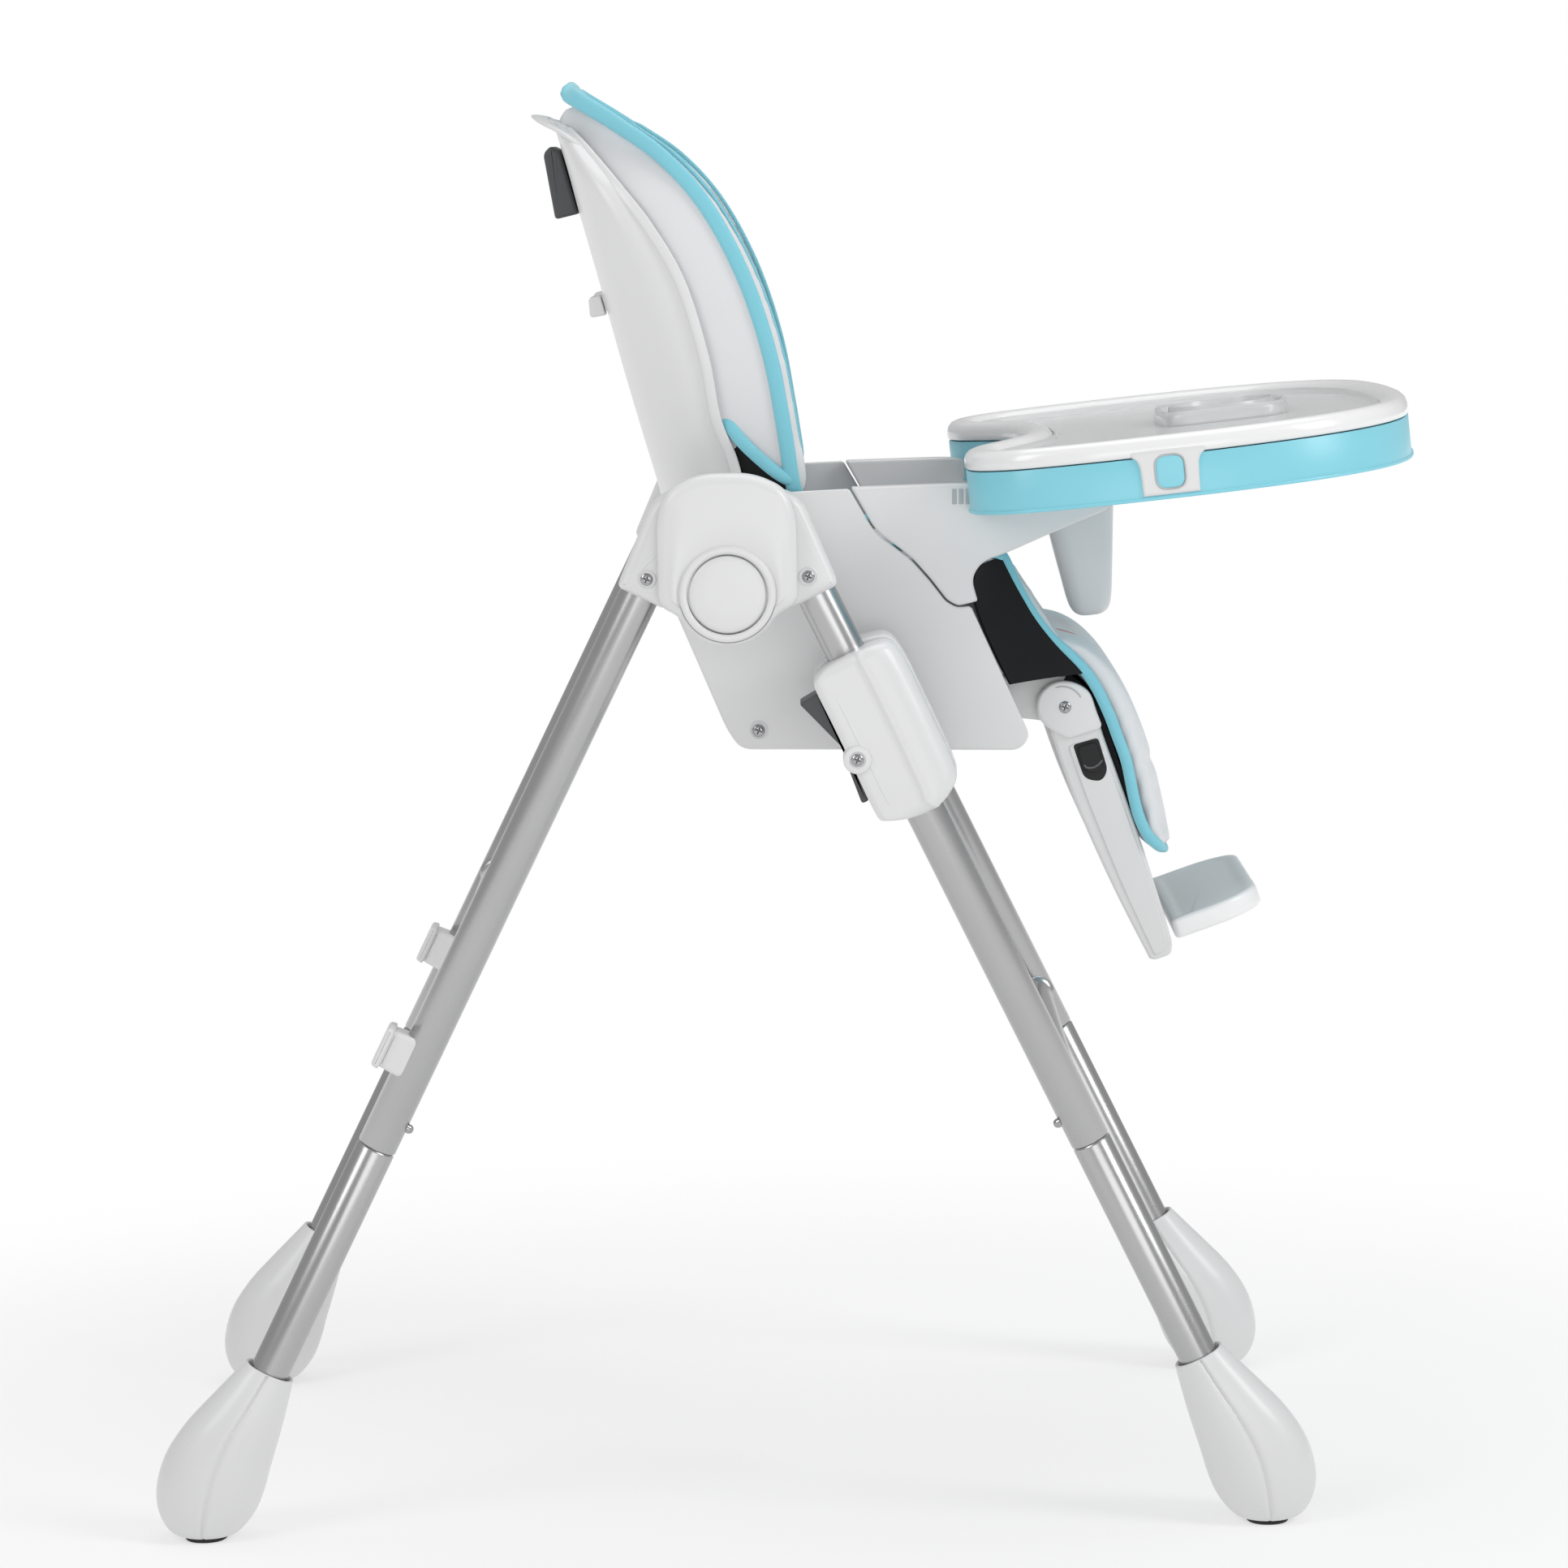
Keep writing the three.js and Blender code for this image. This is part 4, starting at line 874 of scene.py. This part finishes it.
def square_to(path, middle, inner, outer):
    """A direction square to a piping's path: `middle` where |y| is below inner, y itself beyond outer, and
    between them an even turn from the one to the other."""
    y = path[:, 1:2]
    side = np.clip((np.abs(y) - inner) / (outer - inner), 0, 1)
    return np.array(middle) * (1 - side) + np.array([0, 1.0, 0]) * side * np.sign(y + 1e-9)


def skirt(side, way):
    """The black side gusset that closes the gap between the back pad and the seat."""
    top = smooth_line([(-44, -160, 812), (-31, -160, 788), (-12, -158, 771), (6, -156, 759)], 14)
    low = smooth_line([(-66, -157, 742), (-46, -157, 738), (-20, -156, 735), (8, -155, 732)], 14)
    grid = span(top, low, 12, (0, 4, 0))
    made = skin(f"back_gusset_{side}", mirrored(sheet_rings(grid, 2.4), way), "back", "lining", smooth=60,
        ride=False)
    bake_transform(made)


# ---- seat pad ----
def seat_pad():
    """Sections square to x: a U whose wings are `top` high at each x. The base is 25 thick at most and
    the wings lean out a little. Two lines are sewn along it and one across. Piping follows each wing's top."""
    x = np.concatenate([np.linspace(-34, 150, 30), np.linspace(155, 205, 18)])
    top = np.interp(x, [-34, -26, -10, 60, 120, 150, 160, 181, 194, 205],
        [724, 735, 736, 712, 708, 705, 702, 677, 657, 640])
    base = np.interp(x, [-34, 190, 205], [637, 637, 633])
    floor = np.interp(x, [-34, 190, 205], [612, 613, 618])
    rows = []
    for here, high, mid, low in zip(x, top, base, floor):
        inner = max(high, mid + 2)
        w = np.interp(here, [100, 165, 205], [0, 22, 24])
        right = [(146 - w, low + 6), (146.5 - w, (low + inner) / 2), (145.5 - w, inner - 5),
            (138 - w, inner + 1), (129 - w, inner - 4), (123 - w, (inner + mid) / 2), (116 - w, mid + 6),
            (92, mid), (50, mid - 1)]
        full = [(100, low), (134 - w, low)] + right + [(0, mid - 1)]
        both = full + [(-y, z) for y, z in full[-2::-1]]
        rows.append([(here, y, z) for y, z in both])
    rings = np.stack([smooth_line(r, 110, closed=True) for r in np.array(rows)])
    for k, s in ((0, 0.985), (-1, 0.985)):
        rings[k] = rings[k].mean(0) + (rings[k] - rings[k].mean(0)) * s
    pad = skin("seat_pad", rings, "seat", "front", "seat_pad", smooth=80, ride=False)
    puffed(pad, 6, 5, 3.0)
    half = 88
    along = lambda p, n: np.abs(np.abs(p[:, 1]) - half) + away(n, 2, 0.4)
    across = lambda p, n: np.abs(p[:, 0] - 70) + away(n, 2, 0.4) + np.maximum(0, np.abs(p[:, 1]) - half)
    sewn(pad, [along, across])
    subdivided(pad)
    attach(pad, "seat")
    for side, way in SIDES:
        path = smooth_line([(-28, -143, 735), (-12, -144, 739), (10, -144, 733), (34, -144, 718),
            (110, -143, 712), (146, -134, 707), (160, -128, 703)], 60)
        skin(f"seat_piping_{side}", mirrored(carry(path, 3.0, 3.0, 12), way), "seat", "piping")


# ---- leg rest ----
# The cover's side edge from the seat down: x, z.
EDGE = [(152, 706), (159, 704), (168, 684), (180, 662), (194, 643), (213, 625), (226, 608), (236, 587),
    (243, 568), (249.5, 549), (254, 526), (258, 509), (264, 495), (270, 488)]


def knee_cover():
    """The soft cover that goes over the front of the seat and down the leg rest: a flattened oval section
    along its path, with piping round its edge, a black lining behind it and a gusset at each side."""
    half = 127.5
    path = smooth_line([(176, 0, 634), (198, 0, 634), (215, 0, 627), (229, 0, 613), (239, 0, 597),
        (248, 0, 577), (256, 0, 554), (262, 0, 531), (267, 0, 508), (270, 0, 492), (272, 0, 485),
        (273.5, 0, 478.5)], 60)
    wide = np.full(60, half)
    wide[-6:] *= np.array([0.995, 0.985, 0.975, 0.96, 0.945, 0.93])
    rings = carry(path, 9.4, wide, 80, power=5, taper=1)
    pad = skin("legrest_pad", rings, "legrest", "front", "legrest_pad", smooth=80, ride=False)
    puffed(pad, 5, 4)
    along = lambda p, n: np.abs(np.abs(p[:, 1]) - 62) + away(n, 0, 0.2)
    across = lambda p, n: np.abs(p[:, 2] - 548) + away(n, 0, 0.2)
    sewn(pad, [along, across], 2.2, 4)
    subdivided(pad)
    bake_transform(pad)
    right = [(x, -half, z) for x, z in EDGE]
    under = [(276, -114, 482.5), (279, -84, 479), (280, 0, 478)]
    left = [(x, -y, z) for x, y, z in (right + under)[-2::-1]]
    path = smooth_line(right + under + left, 220)
    piping = skin("legrest_piping", carry(path, 4.3, 3.4, 14, up=square_to(path, (0.35, 0, 1.0), 90, 125)),
        "legrest", "piping", ride=False)
    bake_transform(piping)
    back = smooth_line([(203, 0, 613), (216, 0, 604), (226, 0, 590), (234, 0, 570), (243, 0, 543),
        (250, 0, 516), (257, 0, 495)], 40)
    lining = skin("legrest_lining", carry(back, 3.4, 121, 60, power=8, taper=1), "legrest", "lining",
        ride=False)
    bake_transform(lining)
    for side, way in SIDES:
        seat_edge = smooth_line([(137, -161, 698), (135, -162, 680), (142, -162, 656), (154, -162, 628),
            (162, -160, 612)], 16)
        pad_edge = smooth_line([(157, -130, 704), (168, -130, 682), (181, -130, 659), (197, -130, 638),
            (218, -129, 616)], 16)
        grid = span(seat_edge, pad_edge, 10, (-2, 3, 0))
        made = mirrored(sheet_rings(grid, 2.2), way)
        skin(f"seat_gusset_{side}", made, "seat", "lining", smooth=60)


def leg_rest():
    """Boards with round borders: a rail, an inner face, a knuckle and a latch at each side, the panel and
    bridge between them, and the footrest, whose rows end in a shallow recess."""
    for side, way in SIDES:
        put = lambda p: mirrored(p, way)
        rail = corners([(192, 576, 8), (206, 570, 6), (230, 578, 3), (232.5, 569, 6), (255.6, 502.6, 40),
            (276.9, 433.8, 20), (283, 411, 4), (282, 402.5, 4), (266.7, 397.5, 5), (238.5, 454, 40),
            (210, 520, 40)], 220)
        nodes = ("legrest_frame",) if side == "right" else ()
        skin(f"legrest_rail_{side}", put(plate(rail, -118, -126, 2.2, 1)), "legrest", "white", *nodes)
        inner = corners([(206, 562, 4), (229, 568, 4), (252, 502, 30), (274, 434, 20), (280, 411, 4),
            (270, 401, 4), (246, 454, 30), (218, 526, 30)], 200)
        skin(f"legrest_rail_face_{side}", put(plate(inner, -125, -127, 0.8)), "legrest", "white")
        knuckle = corners([(209, 610.5, 14), (223, 603, 14), (227, 589, 14), (231.5, 577, 3),
            (229.5, 573.5, 3), (206, 566.5, 4), (194, 573, 14), (183, 583, 16), (183, 600, 16),
            (195, 610.5, 16)], 180)
        skin(f"knee_knuckle_{side}", put(plate(knuckle, -117.5, -129, 2.2)), "legrest", "white")
        arc = np.linspace(0.45, 1.9, 24)
        arc = np.stack([KNEE[0] + 15.5 * np.cos(arc), 0 * arc - 129, KNEE[1] + 15.5 * np.sin(arc)], 1)
        skin(f"knee_arc_{side}", put(carry(arc, 0.7, 0.5, 8)), "legrest", "mark")
        screw(f"knee_screw_{side}", KNEE[0] + 2, -128.6, KNEE[1], "legrest", way, 4.7)
        window = corners([(209.5, 562.5, 3), (228.5, 567.5, 3), (235.6, 543, 8), (231, 534.5, 6),
            (218, 536.5, 6)], 120)
        skin(f"latch_window_{side}", put(plate(window, -126.4, -127.3, 0.3)), "legrest", "black")
        latch = corners([(213, 560.5, 3), (226.5, 564.5, 3), (232, 547.5, 6), (228, 541.5, 5),
            (217.5, 543, 5)], 120)
        skin(f"legrest_latch_{side}", put(plate(latch, -127.2, -129, 0.7)), f"legrest_latch_{side}",
            "black", f"legrest_latch_{side}")
        # A thin lighter grey line along the latch's lower edge: a painted highlight in the webbing's grey,
        # standing in for the glint on the black latch.
        highlight_path = smooth_line([(217.5, -129, 547.6), (220, -129, 545.4), (224.5, -129, 545.4),
            (228.5, -129, 547.6), (231.5, -129, 551)], 24)
        skin(f"latch_painted_highlight_{side}", put(carry(highlight_path, 0.7, 0.6, 8)), f"legrest_latch_{side}", "webbing")
    panel = corners([(202, 566, 2.5), (207, 568, 2.5), (231, 497, 60), (272, 406, 2), (267, 402, 3),
        (224, 494, 60)], 200)
    skin("legrest_panel", plate(panel, 117, -117, 1.5), "legrest", "white")
    bridge = corners([(262, 418, 3), (277, 422, 3), (282, 404, 3), (266, 397, 3)], 100)
    skin("legrest_bridge", plate(bridge, 116, -116, 1.5), "legrest", "white")
    plan = corners([(0, -112, 4), (46, -112, 26), (71, -92, 24), (71, 92, 24), (46, 112, 26), (0, 112, 4)],
        220)
    rows = rounded_rows(-8, 7.5, 3.5, 3.2) + [(6.5, 7.3), (8.6, 6.5), (10.6, 5.9), (13, 5.7), (18, 5.6),
        (18, 5.6, 0.6), (18, 5.6, 0.2)]
    rows.pop(-8)
    tread = turned(stack(plan, rows, flat=True), math.radians(19), (284.5, 419))
    # The footrest takes the lightened copy of the white plastic: painted light that lifts the shade over its
    # top and recess.
    skin("footrest", tread, "legrest", "shade_lifted_white", "footrest")


# ---- tray ----
# The tray's plan for one half, x and y in its own frame, from the child to the front.
TRAY_HALF = [(54, 0), (51, 50), (39, 96), (20, 130), (6, 156), (0, 190), (8, 228), (34, 256), (78, 269),
    (124, 272), (188, 268), (250, 250), (296, 214), (324, 160), (337, 84), (340.3, 0)]


def tray_outline():
    """The whole plan: the half and its mirror image, smoothed and evenly spaced."""
    half = TRAY_HALF + [(x, -y) for x, y in TRAY_HALF[-2:0:-1]]
    return evenly(smooth_line(half, 600, closed=True), 320)


def tray():
    """Rows [inset, height] round one plan make the skirt, the rim and the clear liner. The liner has a
    raised middle and a ring for a cup."""
    plan = tray_outline()
    flat = lambda rows: on_tray(stack(plan, rows, flat=True))
    skirt_rows = [(22, 23), (3.4, 23), (3.0, 22.4), (3.0, 2.6), (2.2, 1.0), (-0.6, 0.0), (-1.2, 0.6),
        (-1.2, 1.6), (-0.6, 2.4), (0.2, 2.9), (0.2, 29.8), (0.8, 30.8), (3.0, 30.9), (3.0, 26), (22, 26)]
    skin("tray_skirt", flat(skirt_rows), "tray", "blue", "tray_lower_shell", smooth=50)
    rim_rows = [(22, 31.5), (2.2, 31.5), (0.6, 31.9), (-0.5, 33.2), (-0.6, 36.0), (-0.2, 39.0), (1.2, 42.2),
        (3.6, 44.6), (6.6, 45.6), (10.5, 45.7), (14.5, 45.0), (17.5, 43.2), (19.6, 40.6), (20.8, 37.8),
        (22.2, 36.0), (25, 35.2), (30, 35.0)]
    skin("tray_rim", flat(rim_rows), "tray", "gloss_white", "tray_upper_shell", smooth=60)
    liner_rows = [(24, 35.6), (22.6, 36.2), (21.8, 38.5), (21.4, 40.4), (22.2, 41.2), (23.2, 40.8),
        (24.2, 38.6), (25.6, 37.4), (30, 37.2)]
    skin("tray_liner", flat(liner_rows), "tray_insert", "clear", "tray_insert", smooth=60)
    well = corners([(158, -62, 20), (248, -58, 24), (258, 0, 40), (248, 58, 24), (158, 62, 20),
        (152, 0, 40)], 160)
    wall = stack(well, [(0, 37), (0.4, 44), (1.4, 47.2), (3.0, 48), (4.4, 47.2), (5.4, 44), (6, 38.2),
        (12, 38)], flat=True)
    skin("liner_plateau", on_tray(wall), "tray_insert", "clear", smooth=50)
    cup = moved(upright([(37, 38), (37.6, 47), (38.6, 49.2), (40.2, 49.2), (41.2, 47), (41.6, 38)], 72),
        205)
    skin("liner_cup_wall", on_tray(cup), "tray_insert", "clear", ends=False)
    post()
    for side, way in SIDES:
        button_panel(side, way)


def button_panel(side, way):
    """A patch of the tray's side, wider at the top: columns run along the outline, rows up it. The plan's
    half width there is nearly straight, so y follows a parabola."""
    bulge = lambda x: TRAY["half"] - 0.0011 * (x - 128) ** 2
    z = np.concatenate([[3.2, 3.6, 4.4], np.linspace(6, 29, 9), [30.4, 31.8, 33, 34.2, 35.4, 36.4]])
    t = np.concatenate([[-1, -0.985, -0.95], np.linspace(-0.9, 0.9, 14), [0.95, 0.985, 1]])
    middle = 142.5
    half = 20.5 + 0.8 * (z - 3) / 28 + 6 * np.exp(-np.maximum(0, 32.2 - z) / 2.6)
    x = middle + half[:, None] * t
    upwards = np.clip(np.minimum((z - 3.2) / 1.2, (36.4 - z) / 4), 0, 1)[:, None]
    low = np.minimum((1 - np.abs(t)) * 22, 1)[None] * upwards
    y = -(bulge(x) + 0.1 + 1.5 * np.sqrt(low))
    face = np.stack([x, y, np.broadcast_to(z[:, None], x.shape)], -1)
    inside = face * (1, 0, 1) + np.stack([0 * x, -(bulge(x) - 2.4), 0 * x], -1)
    rings = np.hstack([face, inside[:, ::-1]])
    skin(f"tray_panel_{side}", mirrored(on_tray(rings), way), "tray", "white", smooth=50)
    square = corners([(middle - 10, 8, 7.5), (middle + 10, 8, 7.5), (middle + 10, 31, 7.5),
        (middle - 10, 31, 7.5)], 96)
    at = -bulge(middle)
    button = plate(square, at + 8, at - 2.9, 1.3, crown=0.4)
    skin(f"tray_button_{side}", mirrored(on_tray(button), way), f"tray_button_{side}", "blue",
        f"tray_button_{side}")
    frame_rows = [(-1.6, at - 1.3), (-1.3, at - 2.1), (-0.6, at - 2.2), (-0.3, at - 1.3), (-0.3, at),
        (-1.6, at)]
    skin(f"tray_button_frame_{side}", mirrored(on_tray(stack(square, frame_rows)), way), "tray", "mark",
        ends=False)


def post():
    """The post between the child's legs: rounded oblong sections that narrow downwards."""
    z = np.array([22, 10, -4, -20, -45, -70, -88, -97, -101, -102])
    back = np.array([58, 58.5, 60, 61.5, 65, 69, 72, 75, 80, 86])
    front = np.array([118, 117.5, 116, 114.5, 111.5, 108.5, 106, 103, 98, 92])
    wide = np.array([33, 32, 30.5, 29.5, 27.5, 26, 25, 23, 18, 10])
    s = smooth_line(np.stack([z, back, front, wide], 1), 60)
    a = np.linspace(0, 2 * math.pi, 72, endpoint=False)
    c, w = (np.sign(f(a)) * np.abs(f(a)) ** (2 / 4.0) for f in (np.cos, np.sin))
    x = (s[:, 1:2] + s[:, 2:3]) / 2 + (s[:, 2:3] - s[:, 1:2]) / 2 * c
    rings = np.stack([x, s[:, 3:4] * w, np.broadcast_to(s[:, :1], x.shape)], -1)
    skin("crotch_post", on_tray(rings), "tray", "white", "crotch_post", smooth=50)
    flange = corners([(44, -44, 10), (136, -44, 14), (136, 44, 14), (44, 44, 10)], 120)
    skin("post_flange", on_tray(stack(flange, rounded_rows(20, -5.5, 1, 4), flat=True)), "tray", "white")


# ---- harness ----
def strap(name, points, body, wide=12.5, finish="webbing", up=(0, 1, 0)):
    """A flat strap along its path: thin along the surface's normal, wide across it."""
    path = smooth_line(points, 60)
    return skin(name, carry(path, 1.1, wide, 16, up=up, power=6, taper=1), body, finish, ride=False)


def harness():
    """Five straps from the back, the hips and between the legs to one buckle, with soft shoulder pieces."""
    for side, way in SIDES:
        y = -46 * way
        shoulder = strap(f"shoulder_strap_{side}", [(-108, y, 905), (-92, y, 896), (-86, y, 870),
            (-78, y, 830), (-68, y * 0.95, 790), (-50, y * 0.85, 750), (-22, y * 0.65, 715),
            (20, y * 0.4, 688), (44, y * 0.25, 680)], "back")
        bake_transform(shoulder)
        cushion = strap(f"shoulder_cushion_{side}", [(-88, y, 886), (-83, y, 870), (-76, y, 835),
            (-69, y * 0.97, 806)], "back", 19, "lining")
        cushion.data.vertices.foreach_set("co", fatter(cushion, 2.6))
        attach(cushion, "back")
        lap = strap(f"lap_strap_{side}", [(-20, -120 * way, 655), (0, -104 * way, 668),
            (22, -70 * way, 680), (40, -34 * way, 681), (48, -20 * way, 680)], "seat", up=(0.25, 0, 1))
        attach(lap, "seat")
    crotch = strap("crotch_strap", [(104, 0, 634), (98, 0, 650), (80, 0, 668), (62, 0, 677), (56, 0, 678)],
        "seat")
    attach(crotch, "seat")
    body = corners([(-20, -15, 9), (20, -15, 9), (22, 12, 8), (-22, 12, 8)], 120)
    buckle = stack(body, rounded_rows(-7, 7, 3, 4, crown=1.2), flat=True)
    skin("buckle", moved(np.asarray(buckle)[..., [1, 0, 2]], 50, 0, 682), "seat", "grey")
    key = stack(corners([(-9, -9, 5), (9, -9, 5), (9, 9, 5), (-9, 9, 5)], 80),
        rounded_rows(0, 9.4, 0.5, 1.2, crown=0.5), flat=True)
    skin("buckle_key", moved(key, 50, 0, 682), "seat", "black")


def fatter(obj, by):
    """Every point moved out along its normal."""
    count = len(obj.data.vertices)
    p, n = np.empty(count * 3), np.empty(count * 3)
    obj.data.vertices.foreach_get("co", p)
    obj.data.vertex_normals.foreach_get("vector", n)
    return p + n * by * MM


# ---- the chair ----
for end in ("front", "rear"):
    for side, way in SIDES:
        leg_tubes(end, side, way)
        foot(end, side, way)
for side, way in SIDES:
    hub(side, way)
    slider(side, way)
    tray_hook(side, way)
    seat_shells(side, way)
crossbar("front", -444.5)
crossbar("rear", -330)
back_shell()
recline_handle()
back_pad()
cover_fold()
seat_pad()
knee_cover()
leg_rest()
tray()
harness()
pan = frame["nodes"]["seat_pan"]
pan.data.materials.clear()
pan.data.materials.append(FINISH["white"])


# ---- floor, light and camera ----
def floor():
    """A wide plain floor that turns to pure white away from the chair, so that it has no horizon."""
    half = 60  # metres
    mesh = bpy.data.meshes.new("floor")
    mesh.from_pydata([(-half, -half, 0), (half, -half, 0), (half, half, 0), (-half, half, 0)], [],
        [(0, 1, 2, 3)])
    obj = bpy.data.objects.new("floor", mesh)
    bpy.context.scene.collection.objects.link(obj)
    made = bpy.data.materials.new("floor white")
    made.use_nodes = True
    tree = made.node_tree
    shader = tree.nodes["Principled BSDF"]
    shader.inputs["Base Color"].default_value = (0.9, 0.9, 0.9, 1)
    shader.inputs["Roughness"].default_value = 0.7
    shader.inputs["Specular IOR Level"].default_value = 0.1
    place = tree.nodes.new("ShaderNodeTexCoord")
    far = tree.nodes.new("ShaderNodeVectorMath")
    far.operation = "LENGTH"
    tree.links.new(place.outputs["Object"], far.inputs[0])
    share = tree.nodes.new("ShaderNodeMapRange")
    share.interpolation_type = "SMOOTHSTEP"
    share.inputs["From Min"].default_value = 0.5
    share.inputs["From Max"].default_value = 1.25
    share.inputs["To Min"].default_value = 0.55
    tree.links.new(far.outputs["Value"], share.inputs["Value"])
    glow = tree.nodes.new("ShaderNodeEmission")
    glow.inputs["Color"].default_value = (1, 1, 1, 1)
    mix = tree.nodes.new("ShaderNodeMixShader")
    tree.links.new(share.outputs["Result"], mix.inputs[0])
    tree.links.new(shader.outputs[0], mix.inputs[1])
    tree.links.new(glow.outputs[0], mix.inputs[2])
    tree.links.new(mix.outputs[0], tree.nodes["Material Output"].inputs["Surface"])
    mesh.materials.append(made)


def softbox(name, at, towards, size, watts):
    """A rectangular light at a place, turned to shine towards another."""
    data = bpy.data.lights.new(name, "AREA")
    data.shape = "RECTANGLE"
    data.size, data.size_y = size
    data.energy = watts
    obj = bpy.data.objects.new(name, data)
    bpy.context.scene.collection.objects.link(obj)
    obj.location = at
    direction = np.array(towards) - np.array(at)
    flat = math.hypot(direction[0], direction[1])
    heading = math.atan2(direction[1], direction[0]) - math.pi / 2
    obj.rotation_euler = (math.atan2(flat, -direction[2]), 0, heading)


def world():
    """Plain white all round: full strength behind the chair, and half as strong as a light."""
    made = bpy.data.worlds.new("studio")
    made.use_nodes = True
    tree = made.node_tree
    light = tree.nodes["Background"]
    light.inputs["Color"].default_value = (1, 1, 1, 1)
    light.inputs["Strength"].default_value = 0.5
    seen = tree.nodes.new("ShaderNodeBackground")
    seen.inputs["Color"].default_value = (1, 1, 1, 1)
    ray = tree.nodes.new("ShaderNodeLightPath")
    mix = tree.nodes.new("ShaderNodeMixShader")
    tree.links.new(ray.outputs["Is Camera Ray"], mix.inputs[0])
    tree.links.new(light.outputs[0], mix.inputs[1])
    tree.links.new(seen.outputs[0], mix.inputs[2])
    tree.links.new(mix.outputs[0], tree.nodes["World Output"].inputs["Surface"])
    bpy.context.scene.world = made


floor()
world()
softbox("key", (-2.4, -2.2, 2.6), (0, 0, 0.6), (1.4, 2.2), 31)
softbox("fill", (0.6, -3.8, 0.9), (0, 0, 0.5), (2.4, 1.6), 19)
softbox("top", (0.2, 0.4, 3.4), (0, 0, 0.6), (2.6, 2.0), 28)
softbox("front", (3.0, -1.6, 2.6), (0.2, 0, 0.5), (1.2, 2.0), 50)
CAMERA = {"at": (-0.0065, -4.0347, 1.020), "lens": 121.0, "tilt": 82.95, "roll": -0.99}  # metres, degrees
lens = bpy.data.cameras.new("camera")
lens.lens = CAMERA["lens"]
lens.sensor_width = 36
camera = bpy.data.objects.new("camera", lens)
camera.location = CAMERA["at"]
tilt = Matrix.Rotation(math.radians(CAMERA["tilt"]), 3, "X")
roll = Matrix.Rotation(math.radians(CAMERA["roll"]), 3, "Z")
camera.rotation_euler = (tilt @ roll).to_euler()
bpy.context.scene.collection.objects.link(camera)
bpy.context.scene.camera = camera
bpy.context.scene.view_settings.view_transform = "Standard"
